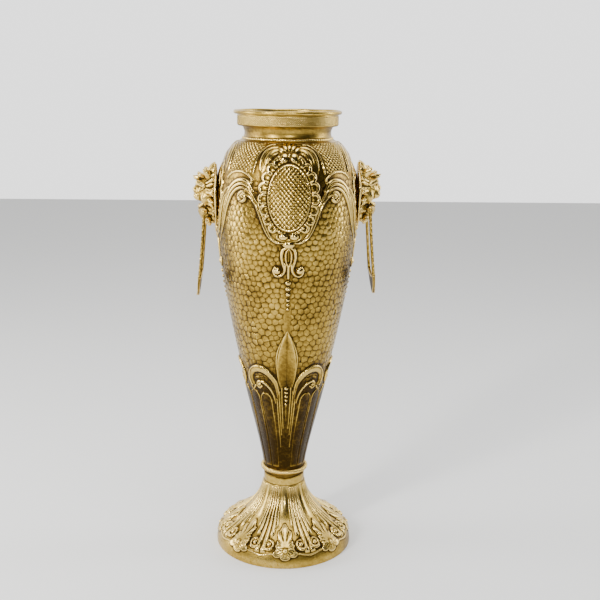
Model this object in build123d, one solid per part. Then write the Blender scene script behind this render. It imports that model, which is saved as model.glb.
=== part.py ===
"""Tall footed brass vase with two mask handles, in millimetres.

The axis of the vase is Z and z = 0 is the face it stands on. -Y is the front, and the two masks
face -X and +X. Sheet parts are drawn as one outer line each and thickened inwards.
"""
from build123d import *
from math import cos, radians, sqrt, tan
import os

# ---------------------------------------------------------------- driving dimensions
SHEET = 1.2                    # thickness of the raised sheet parts
FIT = 0.05                     # radial clearance of a turning or sliding fit
SEAM = 0.3                     # gap between two parts that are soldered or only stand close

FOOT_R = 96.5                  # widest radius, at the hem
FOOT_HEM_W = 6.0               # width of the flat hem that is turned in under the foot
SKIRT_TOP_R = 91.5             # radius where the skirt turns into the flare
SKIRT_H = 20.5
SKIRT_ROUND_R = 5.0            # rounding between skirt and flare
FLARE_H = 70.5                 # height of the flare above the skirt
FLARE_BELLY = (0.42, 0.27)     # how far in and up the flare first heads, as shares of its run and rise
FLARE_NECK = (0.08, 0.56)      # how far out and down it still is where it turns upright
STEM_OUTSET = 0.8              # radius at the top of the flare, beyond the lower edge of the body
STEM_HOLE_R = 20.0             # hole in the turned-in top of the foot

SOCKET_H = 24.0                # tube that carries the body on the foot
SOCKET_WALL = 1.6
BAND_H = 13.5                  # plain band round the socket
BAND_WALL = 1.6

RING_OUTSET = 1.4              # centre line of the rope ring, beyond the lower edge of the body
RING_WIRE_R = 3.4
BODY_FOOT_GAP = 17.0           # from the top of the foot to the lower edge of the body
BODY_BASE_R = 28.4
BELLY_R = 93.3
BELLY_RISE = 377.0             # from the lower edge of the body to its widest circle
SHOULDER_RISE = 85.0           # from the widest circle to the flat land at the neck
LAND_R = 67.0                  # outer radius of the flat land that the collar stands on
LAND_W = 6.0                   # width of the land, from its outer edge to the hole in it
BASE_PULL = 0.11               # Bezier handle lengths of the body line, as shares of each rise
BELLY_PULL_LOW = 0.365
BELLY_PULL_HIGH = 0.65
LAND_PULL = 0.79               # share of the shoulder's width

COLLAR_INSET = 1.0             # how far inside the edge of the land the collar stands
THROAT_INSET = 10.3            # insets of the throat, the step and the band from the same edge
COVE_TOP_INSET = 6.5
COLLAR_BAND_INSET = 0.3
THROAT_RISE = 10.8             # from the land to the narrowest circle
COVE_RISE = 20.0               # from the land to the step under the band
COLLAR_BAND_H = 14.6
LIP_BEAD_R = 2.6               # rolled lip
LIP_WIRE_R = 1.45              # wire inside the rolled lip
LIP_OVERHANG = 2.4             # from the band to the centre of the rolled lip
LIP_RISE = 2.8

FLOOR_T = 1.6
ROD_R = 3.0
ROD_SPARE = 4.0                # thread standing past each nut
NUT_H = 5.0
NUT_FLATS_R = 5.0              # half the width across flats
SEAL_R = 9.5
SEAL_T = 1.0
WASHER_R = 8.5
WASHER_T = 1.2
BRIDGE_T = 2.0
BRIDGE_INSET = 5.2             # edge of the bridge, inside the top of the flare

LEFT_MASK_RISE = 12.0          # centres of the masks above the widest circle; they hang unevenly
RIGHT_MASK_RISE = 16.0
MASK_PLATE_TOP = 42.5          # from the centre to the upper tip of the shield plate
MASK_PLATE_LOW = 49.0          # from the centre to its lower tip
MASK_PLATE_W = 31.0            # half width of the shield plate
MASK_PLATE_SIDE = 8.0          # height of its widest place above the centre
MASK_PLATE_T = 2.4
HEAD_OUT = 28.0                # how far the head stands out of the plate
HEAD_W = 25.0                  # half width of the head
HEAD_H = 41.5                  # half height of the head
EAR_R = 5.2
EAR_AT = (10.0, 16.5, 28.5)    # out of the plate, sideways, above the centre
TUFT_ROOT_R = 5.0
TUFT_END_R = 0.8
TUFT_AT = (18.0, 19.0)         # root of the forelock: out of the plate, above the centre
TUFT_TIP = (28.0, 24.5)
STUD_R = 2.0
STUD_L = 11.0                  # from the back of the plate inwards
STUD_OFFSETS = (27.0, -33.0)   # heights of the studs above the centre
STUD_NUT_H = 3.2
STUD_NUT_FLATS_R = 3.5
STUD_WASHER_R = 5.0
STUD_WASHER_T = 0.8

PIVOT_OUT = 14.0               # hinge axis of the handle: out of the plate
PIVOT_DROP = 19.0              # and below the centre of the mask
PIN_R = 1.6
PIN_HEAD_R = 3.1
PIN_HEAD_SINK = 0.75           # share of the ball's radius that shows behind its centre
PIN_GRIP = 7.0                 # length of the pin inside the cheek
CHEEK_GAP = 0.5                # from the cheek to the inside of an eye
BAIL_W = 5.0                   # width of the bars
BAIL_T = 4.2
BAIL_EYE_R = 4.2
BAIL_L = 119.0                 # from the hinge axis to the tip
BAIL_FOOT_L = 33.0             # length of the pointed foot under the straight bars
BAIL_SPREAD = 26.0             # half width over the centres of the bars at their lower end
BAIL_FOOT_SOLID = 26.0         # from the bottom of the opening to the tip
BAIL_LEAN = 4.8                # how far the handle stands outwards at rest, in degrees
JOWL = (4.0, 9.0, 5.0)         # half sizes of the jowl that the bar rests on
JOWL_INSET = 3.4               # from the inside of an eye to the middle of the jowl
JOWL_DROP = 31.0               # below the centre of the mask

# ---------------------------------------------------------------- radii and lengths that follow
STEM_R = BODY_BASE_R + STEM_OUTSET
SOCKET_R = BODY_BASE_R - SHEET - SEAM
RING_R = BODY_BASE_R + RING_OUTSET
BRIDGE_R = STEM_R - BRIDGE_INSET
MOUTH_HOLE_R = LAND_R - LAND_W
COLLAR_FOOT_R = LAND_R - COLLAR_INSET
THROAT_R = LAND_R - THROAT_INSET
COVE_TOP_R = LAND_R - COVE_TOP_INSET
COLLAR_R = LAND_R - COLLAR_BAND_INSET
CHEEK = HEAD_W * sqrt(1 - (PIVOT_OUT / HEAD_OUT) ** 2 - (PIVOT_DROP / HEAD_H) ** 2)
BAIL_GAP = round(CHEEK + CHEEK_GAP, 1)    # half of the gap between the two eyes
BAIL_BAR_L = BAIL_L - BAIL_FOOT_L
BAIL_WINDOW_L = BAIL_L - BAIL_FOOT_SOLID
JOWL_Y = BAIL_GAP - JOWL_INSET

# ---------------------------------------------------------------- heights that follow
FOOT_TOP = SKIRT_H + FLARE_H
BODY_BASE = FOOT_TOP + BODY_FOOT_GAP
RING_Z = BODY_BASE + 2.1
BELLY_Z = BODY_BASE + BELLY_RISE
LAND_Z = BELLY_Z + SHOULDER_RISE
COVE_TOP_Z = LAND_Z + COVE_RISE
COLLAR_TOP = COVE_TOP_Z + COLLAR_BAND_H
SOCKET_TOP = FOOT_TOP + SOCKET_H
LEFT_MASK_Z = BELLY_Z + LEFT_MASK_RISE
RIGHT_MASK_Z = BELLY_Z + RIGHT_MASK_RISE


# ---------------------------------------------------------------- helpers
def at(radius, height):
    """A point of a profile in the XZ plane."""
    return (radius, 0, height)


def spin(face):
    """A solid of revolution about Z from a face in the XZ plane."""
    return revolve(face, Axis.Z)


def sheet(outer):
    """The face between an outer line and its copy one sheet thickness nearer to the axis."""
    outlines = [
        offset(outer, SHEET, side=side, kind=Kind.ARC, closed=True).edges()
        for side in (Side.LEFT, Side.RIGHT)
    ]
    inner = min(outlines, key=lambda edges: edges.sort_by(Axis.X)[-1].bounding_box().max.X)
    flat = [edge for edge in inner if edge.geom_type != GeomType.OFFSET]
    bent = [
        edge.to_splines(degree=3, tolerance=0.001) for edge in inner if edge.geom_type == GeomType.OFFSET
    ]
    return make_face(flat + bent)


def ring(r_out, r_in, z_low, z_high):
    """A plain flat or upright ring about Z."""
    height = z_high - z_low
    return Pos(0, 0, z_low) * (
        Cylinder(r_out, height, align=(Align.CENTER, Align.CENTER, Align.MIN))
        - Cylinder(r_in, height, align=(Align.CENTER, Align.CENTER, Align.MIN))
    )


def hex_nut(half_flats, height, hole_r):
    """A nut about Z, standing on z = 0."""
    outline = RegularPolygon(half_flats, 6, major_radius=False)
    return extrude(outline - Circle(hole_r), height)


def ellipsoid(centre, semi):
    return Pos(*centre) * scale(Sphere(1), by=semi)


def save(shape, name):
    os.makedirs("parts", exist_ok=True)
    solids = shape.solids()
    export_step(solids[0] if len(solids) == 1 else Compound(children=list(solids)), f"parts/{name}.step")


# ---------------------------------------------------------------- body
def body_line():
    """The outer line of the body from its lower edge to the inside of the land."""
    low = Bezier(
        at(BODY_BASE_R, BODY_BASE + 6),
        at(BODY_BASE_R, BODY_BASE + BASE_PULL * BELLY_RISE),
        at(BELLY_R, BELLY_Z - BELLY_PULL_LOW * BELLY_RISE),
        at(BELLY_R, BELLY_Z),
    )
    high = Bezier(
        at(BELLY_R, BELLY_Z),
        at(BELLY_R, BELLY_Z + BELLY_PULL_HIGH * SHOULDER_RISE),
        at(LAND_R + LAND_PULL * (BELLY_R - LAND_R), LAND_Z),
        at(LAND_R, LAND_Z),
    )
    return [
        Line(at(BODY_BASE_R, BODY_BASE), at(BODY_BASE_R, BODY_BASE + 6)),
        low,
        high,
        Line(at(LAND_R, LAND_Z), at(MOUTH_HOLE_R, LAND_Z)),
    ]


def body_radius(z):
    """Outer radius of the body at one height."""
    for edge in body_line()[:3]:
        low, high = 0.0, 1.0
        if (edge @ 0).Z <= z <= (edge @ 1).Z:
            for _ in range(40):
                middle = (low + high) / 2
                low, high = (middle, high) if (edge @ middle).Z < z else (low, middle)
            return (edge @ low).X
    return BODY_BASE_R


def body_shell():
    """The raised body, with the holes that the studs of the masks pass through."""
    shell = spin(sheet(Wire(body_line())))
    for x_sign, mask_z in ((-1, LEFT_MASK_Z), (1, RIGHT_MASK_Z)):
        for offset_z in STUD_OFFSETS:
            bore = Cylinder(STUD_R + FIT, 4 * STUD_L, rotation=(0, 90, 0))
            shell -= Pos(x_sign * BELLY_R, 0, mask_z + offset_z) * bore
    return shell


def body_floor():
    return ring(body_radius(SOCKET_TOP) - SHEET - FIT, ROD_R + FIT, SOCKET_TOP, SOCKET_TOP + FLOOR_T)


# ---------------------------------------------------------------- collar
def collar():
    """Cove, upright band and rolled lip, spun from one sheet."""
    line = Wire([
        ThreePointArc(
            at(COLLAR_FOOT_R, LAND_Z), at(THROAT_R, LAND_Z + THROAT_RISE), at(COVE_TOP_R, COVE_TOP_Z)
        ),
        Line(at(COVE_TOP_R, COVE_TOP_Z), at(COLLAR_R, COVE_TOP_Z)),
        Line(at(COLLAR_R, COVE_TOP_Z), at(COLLAR_R, COLLAR_TOP)),
        Line(at(COLLAR_R, COLLAR_TOP), at(COLLAR_R + LIP_OVERHANG, COLLAR_TOP + LIP_RISE)),
    ])
    spun = spin(sheet(line))
    spun &= Pos(0, 0, LAND_Z) * Cylinder(
        FOOT_R, 2 * COVE_RISE + COLLAR_BAND_H, align=(Align.CENTER, Align.CENTER, Align.MIN)
    )
    rolled = Torus(COLLAR_R + LIP_OVERHANG, LIP_BEAD_R)
    wire_space = Torus(COLLAR_R + LIP_OVERHANG, LIP_WIRE_R + FIT)
    lip_place = Pos(0, 0, COLLAR_TOP + LIP_RISE)
    return spun + lip_place * rolled - lip_place * wire_space


def lip_wire():
    return Pos(0, 0, COLLAR_TOP + LIP_RISE) * Torus(COLLAR_R + LIP_OVERHANG, LIP_WIRE_R)


# ---------------------------------------------------------------- foot and joint
def foot_shell():
    """Hem, skirt and flare, with the top turned in."""
    run, rise = SKIRT_TOP_R - STEM_R, FLARE_H
    skirt_top = at(SKIRT_TOP_R, SKIRT_H)
    flare = Bezier(
        skirt_top,
        at(SKIRT_TOP_R - FLARE_BELLY[0] * run, SKIRT_H + FLARE_BELLY[1] * rise),
        at(STEM_R + FLARE_NECK[0] * run, FOOT_TOP - FLARE_NECK[1] * rise),
        at(STEM_R, FOOT_TOP),
    )
    line = Wire([
        Line(at(FOOT_R - FOOT_HEM_W, 0), at(FOOT_R, 0)),
        Line(at(FOOT_R, 0), skirt_top),
        flare,
        Line(at(STEM_R, FOOT_TOP), at(STEM_HOLE_R, FOOT_TOP)),
    ])
    return spin(sheet(line))


def socket():
    return ring(SOCKET_R, SOCKET_R - SOCKET_WALL, FOOT_TOP, SOCKET_TOP)


def foot_band():
    return ring(SOCKET_R + FIT + BAND_WALL, SOCKET_R + FIT, FOOT_TOP, FOOT_TOP + BAND_H)


def rope_ring():
    """The ring is soldered round the lower edge of the body, so it is bored to the body's radius."""
    torus = Pos(0, 0, RING_Z) * Torus(RING_R, RING_WIRE_R)
    return torus - Pos(0, 0, RING_Z) * Cylinder(BODY_BASE_R + FIT, 4 * RING_WIRE_R)


def joint_hardware():
    """The tie rod with what it clamps, from the seal on the body's floor to the nut in the foot."""
    seal_z = SOCKET_TOP + FLOOR_T
    washer_z = seal_z + SEAL_T
    nut_z = washer_z + WASHER_T
    bridge_z = FOOT_TOP - SHEET - BRIDGE_T
    low_washer_z = bridge_z - WASHER_T
    low_nut_z = low_washer_z - NUT_H
    rod_low, rod_high = low_nut_z - ROD_SPARE, nut_z + NUT_H + ROD_SPARE
    rod = Pos(0, 0, rod_low) * Cylinder(
        ROD_R, rod_high - rod_low, align=(Align.CENTER, Align.CENTER, Align.MIN)
    )
    nut = hex_nut(NUT_FLATS_R, NUT_H, ROD_R)
    return {
        "tie_rod": chamfer(rod.edges().filter_by(GeomType.CIRCLE), 0.6),
        "floor_seal": ring(SEAL_R, ROD_R, seal_z, washer_z),
        "floor_washer": ring(WASHER_R, ROD_R, washer_z, nut_z),
        "floor_nut": Pos(0, 0, nut_z) * nut,
        "foot_bridge": ring(BRIDGE_R, ROD_R, bridge_z, FOOT_TOP - SHEET),
        "foot_washer": ring(WASHER_R, ROD_R, low_washer_z, bridge_z),
        "foot_nut": Pos(0, 0, low_nut_z) * nut,
    }


# ---------------------------------------------------------------- mask and handle, made on the +X side
def plate_back():
    """X of the flat back of the shield plate, which is just clear of the body's widest circle."""
    return BELLY_R + SEAM


def pivot_x():
    return plate_back() + MASK_PLATE_T + PIVOT_OUT


def bar_x(drop):
    """X of the handle's middle at rest, at one depth under the hinge axis."""
    return pivot_x() + drop * tan(radians(BAIL_LEAN))


def upright(outline, x, z, thickness):
    """Extrudes a sketch (its x is Y, its y is Z) along +X from the plane at x, z."""
    plane = Plane(origin=(x, 0, z), x_dir=(0, 1, 0), z_dir=(1, 0, 0))
    return extrude(plane * outline, thickness)


def shield_plate(mask_z):
    top, low, side = MASK_PLATE_TOP, -MASK_PLATE_LOW, MASK_PLATE_SIDE
    edge = [
        Spline((0, top), (MASK_PLATE_W, side), (0, low), tangents=((1, -0.35), (-1, -0.9))),
        Spline((0, low), (-MASK_PLATE_W, side), (0, top), tangents=((-1, 0.9), (1, 0.35))),
    ]
    return upright(make_face(edge), plate_back(), mask_z, MASK_PLATE_T)


def forelock(face, mask_z):
    """A pointed tuft that stands out of the brow."""
    run, rise = TUFT_TIP[0] - TUFT_AT[0], TUFT_TIP[1] - TUFT_AT[1]
    root = Plane(origin=(face + TUFT_AT[0], 0, mask_z + TUFT_AT[1]), z_dir=(run, 0, rise))
    length = sqrt(run**2 + rise**2)
    return root * Cone(TUFT_ROOT_R, TUFT_END_R, length, align=(Align.CENTER, Align.CENTER, Align.MIN))


def mask_head(mask_z):
    """Half an ellipsoid with ears, forelock and the two jowls that the handle rests on."""
    face = plate_back() + MASK_PLATE_T
    head = ellipsoid((face, 0, mask_z), (HEAD_OUT, HEAD_W, HEAD_H)) + forelock(face, mask_z)
    jowl_drop = JOWL_DROP - PIVOT_DROP
    jowl_x = bar_x(jowl_drop) - BAIL_T / 2 / cos(radians(BAIL_LEAN)) - SEAM - JOWL[0]
    for y_sign in (-1, 1):
        ear = (face + EAR_AT[0], y_sign * EAR_AT[1], mask_z + EAR_AT[2])
        head += ellipsoid(ear, (EAR_R, EAR_R, EAR_R))
        head += ellipsoid((jowl_x, y_sign * JOWL_Y, mask_z - JOWL_DROP), JOWL)
    head -= Pos(face, 0, mask_z) * Box(
        4 * HEAD_OUT, 4 * HEAD_W, 4 * HEAD_H, align=(Align.MAX, Align.CENTER, Align.CENTER)
    )
    for y_sign in (-1, 1):
        place = pin_place(y_sign, mask_z)
        head -= place * Cylinder(PIN_R, PIN_GRIP, align=(Align.CENTER, Align.CENTER, Align.MAX))
        head -= place * Cylinder(
            BAIL_EYE_R + SEAM, HEAD_W, align=(Align.CENTER, Align.CENTER, Align.MIN)
        )
    return head


def pin_place(y_sign, mask_z):
    """A frame on the hinge axis at the cheek, its z pointing away from the head."""
    origin = (pivot_x(), y_sign * (BAIL_GAP - SEAM), mask_z - PIVOT_DROP)
    return Plane(origin=origin, z_dir=(0, y_sign, 0), x_dir=(1, 0, 0))


def pivot_pins(mask_z):
    reach = SEAM + BAIL_W + SEAM
    shank = Pos(0, 0, -PIN_GRIP) * Cylinder(
        PIN_R, PIN_GRIP + reach, align=(Align.CENTER, Align.CENTER, Align.MIN)
    )
    ball = Pos(0, 0, reach + PIN_HEAD_SINK * PIN_HEAD_R) * Sphere(PIN_HEAD_R)
    outside = Pos(0, 0, reach) * Cylinder(
        2 * PIN_HEAD_R, 4 * PIN_HEAD_R, align=(Align.CENTER, Align.CENTER, Align.MIN)
    )
    pin = shank + (ball & outside)
    return pin_place(-1, mask_z) * pin + pin_place(1, mask_z) * pin


def bail_outline():
    """Two bars that part downwards and meet in a broad pointed foot, round one open window."""
    half = BAIL_W / 2
    top_in, top_out = BAIL_GAP, BAIL_GAP + BAIL_W
    low_in, low_out = BAIL_SPREAD - half, BAIL_SPREAD + half
    window_z = -BAIL_BAR_L + half
    return [
        Line((top_out, 0), (low_out, -BAIL_BAR_L)),
        Spline((low_out, -BAIL_BAR_L), (0, -BAIL_L), tangents=((0.05, -1), (-1, -0.55))),
        Spline((0, -BAIL_L), (-low_out, -BAIL_BAR_L), tangents=((-1, 0.55), (0.05, 1))),
        Line((-low_out, -BAIL_BAR_L), (-top_out, 0)),
        Line((-top_out, 0), (-top_in, 0)),
        Line((-top_in, 0), (-low_in, window_z)),
        ThreePointArc((-low_in, window_z), (0, -BAIL_WINDOW_L), (low_in, window_z)),
        Line((low_in, window_z), (top_in, 0)),
        Line((top_in, 0), (top_out, 0)),
    ]


def bail(mask_z):
    """Long drop handle with an eye at the top of each bar."""
    body = upright(make_face(bail_outline()), -BAIL_T / 2, 0, BAIL_T)
    for y_sign in (-1, 1):
        eye_place = Pos(0, y_sign * (BAIL_GAP + BAIL_W / 2), 0)
        body += eye_place * Cylinder(BAIL_EYE_R, BAIL_W, rotation=(90, 0, 0))
        body -= eye_place * Cylinder(PIN_R + FIT, 3 * BAIL_W, rotation=(90, 0, 0))
    return Pos(pivot_x(), 0, mask_z - PIVOT_DROP) * Rot(0, -BAIL_LEAN, 0) * body


def mask_fixings(mask_z):
    """Studs on the plate's back, and the washers and nuts that hold them inside the body."""
    studs, washers, nuts = [], [], []
    for offset_z in STUD_OFFSETS:
        z = mask_z + offset_z
        wall = min(body_radius(z - STUD_WASHER_R), body_radius(z + STUD_WASHER_R)) - SHEET
        washer_x = sqrt(wall**2 - STUD_WASHER_R**2) - FIT
        stud = Cylinder(STUD_R, STUD_L, align=(Align.CENTER, Align.CENTER, Align.MIN))
        studs.append(Plane(origin=(plate_back(), 0, z), z_dir=(-1, 0, 0)) * stud)
        at_washer = Plane(origin=(washer_x, 0, z), z_dir=(-1, 0, 0))
        washers.append(at_washer * ring(STUD_WASHER_R, STUD_R, 0, STUD_WASHER_T))
        nut = Pos(0, 0, STUD_WASHER_T) * hex_nut(STUD_NUT_FLATS_R, STUD_NUT_H, STUD_R)
        nuts.append(at_washer * nut)
    return {
        "mask_studs": studs[0] + studs[1],
        "mask_washers": washers[0] + washers[1],
        "mask_nuts": nuts[0] + nuts[1],
    }


def handle_set(mask_z):
    return {
        "mask_plate": shield_plate(mask_z),
        "mask_head": mask_head(mask_z),
        "pivot_pins": pivot_pins(mask_z),
        "handle": bail(mask_z),
        **mask_fixings(mask_z),
    }


# ---------------------------------------------------------------- everything
def main():
    parts = {
        "collar": collar(),
        "lip_wire": lip_wire(),
        "body_shell": body_shell(),
        "body_floor": body_floor(),
        "rope_ring": rope_ring(),
        "foot_band": foot_band(),
        "stem_socket": socket(),
        "foot_shell": foot_shell(),
        **joint_hardware(),
    }
    for name, shape in handle_set(RIGHT_MASK_Z).items():
        parts[f"right_{name}"] = shape
    for name, shape in handle_set(LEFT_MASK_Z).items():
        parts[f"left_{name}"] = mirror(shape, about=Plane.YZ)
    for name, shape in parts.items():
        save(shape, name)


main()
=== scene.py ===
import math

import bpy
import numpy as np
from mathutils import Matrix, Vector


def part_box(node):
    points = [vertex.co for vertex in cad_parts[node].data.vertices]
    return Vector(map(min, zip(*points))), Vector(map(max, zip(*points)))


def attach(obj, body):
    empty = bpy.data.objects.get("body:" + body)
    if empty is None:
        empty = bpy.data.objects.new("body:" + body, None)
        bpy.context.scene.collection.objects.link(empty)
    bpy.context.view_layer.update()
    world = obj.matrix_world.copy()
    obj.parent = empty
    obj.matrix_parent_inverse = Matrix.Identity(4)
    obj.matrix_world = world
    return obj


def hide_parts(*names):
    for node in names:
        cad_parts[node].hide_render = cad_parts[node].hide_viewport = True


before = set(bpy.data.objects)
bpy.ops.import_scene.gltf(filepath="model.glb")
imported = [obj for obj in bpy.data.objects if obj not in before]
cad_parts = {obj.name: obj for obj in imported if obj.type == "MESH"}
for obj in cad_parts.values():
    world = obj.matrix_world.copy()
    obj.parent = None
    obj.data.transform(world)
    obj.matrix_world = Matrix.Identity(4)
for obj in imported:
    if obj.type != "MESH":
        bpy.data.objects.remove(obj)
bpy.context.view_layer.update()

# All shapes are worked out in millimetres and written to meshes in metres.
# Angles run from the front (-Y) towards +X, in degrees.
MM = 0.001
SHEET = 1.2                  # sheet thickness
FRONTS = (0, 90, 180, 270)   # centres of the four upper ornaments
OPEN_FRONTS = (0, 180)       # the two of them that no mask covers
RNG = np.random.default_rng(7)


def corner(node, which):
    """Lowest (0) or highest (1) corner of a CAD node, in millimetres."""
    return np.array(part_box(node)[which]) / MM


BASE_Z, LAND_Z = corner("body_shell", 0)[2], corner("body_shell", 1)[2]
BELLY_R = corner("body_shell", 1)[0]
BASE_R = 28.4
BELLY_Z = BASE_Z + 377.0
LAND_R, MOUTH_HOLE_R = 67.0, 61.0
FOOT_R, FOOT_TOP = corner("foot_shell", 1)[0], corner("foot_shell", 1)[2]
SKIRT_TOP_R, SKIRT_H, STEM_R = 91.5, 20.5, 29.2


# ------------------------------------------------------------------ lines and profiles
def bezier(p0, p1, p2, p3, steps=200):
    t = np.linspace(0, 1, steps)[:, None]
    p0, p1, p2, p3 = (np.array(p, float) for p in (p0, p1, p2, p3))
    return (1 - t) ** 3 * p0 + 3 * t * (1 - t) ** 2 * p1 + 3 * t**2 * (1 - t) * p2 + t**3 * p3


def even(points, step):
    """Points along a line at one even spacing."""
    points = np.asarray(points, float)
    lengths = np.hypot(*np.diff(points, axis=0).T)
    along = np.concatenate([[0], np.cumsum(lengths)])
    want = np.linspace(0, along[-1], max(2, int(round(along[-1] / step)) + 1))
    return np.stack([np.interp(want, along, column) for column in points.T], 1)


def curve_through(points, steps=10):
    """A smooth line through three or more given points (Catmull-Rom)."""
    p = np.asarray(points, float)
    p = np.vstack([2 * p[0] - p[1], p, 2 * p[-1] - p[-2]])
    t = np.linspace(0, 1, steps, endpoint=False)[:, None]
    out = []
    for a, b, c, d in zip(p, p[1:], p[2:], p[3:]):
        out.append(0.5 * (2 * b + (c - a) * t + (2 * a - 5 * b + 4 * c - d) * t**2
                          + (3 * b - a - 3 * c + d) * t**3))
    return np.vstack(out + [p[-2:-1]])


def spiral(r_from, r_to, turn_from, turns, steps):
    """Points of a volute round the origin."""
    t = np.linspace(0, 1, steps)
    angle = np.radians(turn_from) + 2 * math.pi * turns * t
    radius = r_from + (r_to - r_from) * t
    return np.stack([radius * np.cos(angle), radius * np.sin(angle)], 1)


def normals(line):
    """Outward unit normals along a line that runs upwards."""
    tangent = np.gradient(line, axis=0)
    tangent /= np.hypot(*tangent.T)[:, None] + 1e-9
    return np.stack([tangent[:, 1], -tangent[:, 0]], 1)


def inner_line(line, every, end=None):
    """The inner face of the sheet behind an outer line, from its last point back to the first."""
    return (line - SHEET * normals(line))[:end][::-every]


def smooth(x, low, high):
    """0 below low, 1 above high, and a soft step between."""
    t = np.clip((x - low) / (high - low), 0, 1)
    return t * t * (3 - 2 * t)


def bell(x, width):
    """1 where x is 0, falling away softly on both sides."""
    return np.exp(-((x / width) ** 2))


def dome(q):
    """Quarter-round profile: 1 where q is 0, and 0 from 1 on."""
    return np.sqrt(np.maximum(1 - q**2, 0))


def blurred(h, passes):
    """A soft copy of a height map; columns wrap round the axis."""
    out = h.copy()
    for k in passes:
        kernel = np.ones(2 * k + 1) / (2 * k + 1)
        padded = np.concatenate([out[:, -k:], out, out[:, :k]], 1)
        out = np.apply_along_axis(lambda row: np.convolve(row, kernel, "valid"), 1, padded)
        padded = np.concatenate([np.repeat(out[:1], k, 0), out, np.repeat(out[-1:], k, 0)], 0)
        out = np.apply_along_axis(lambda column: np.convolve(column, kernel, "valid"), 0, padded)
    return out


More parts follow.
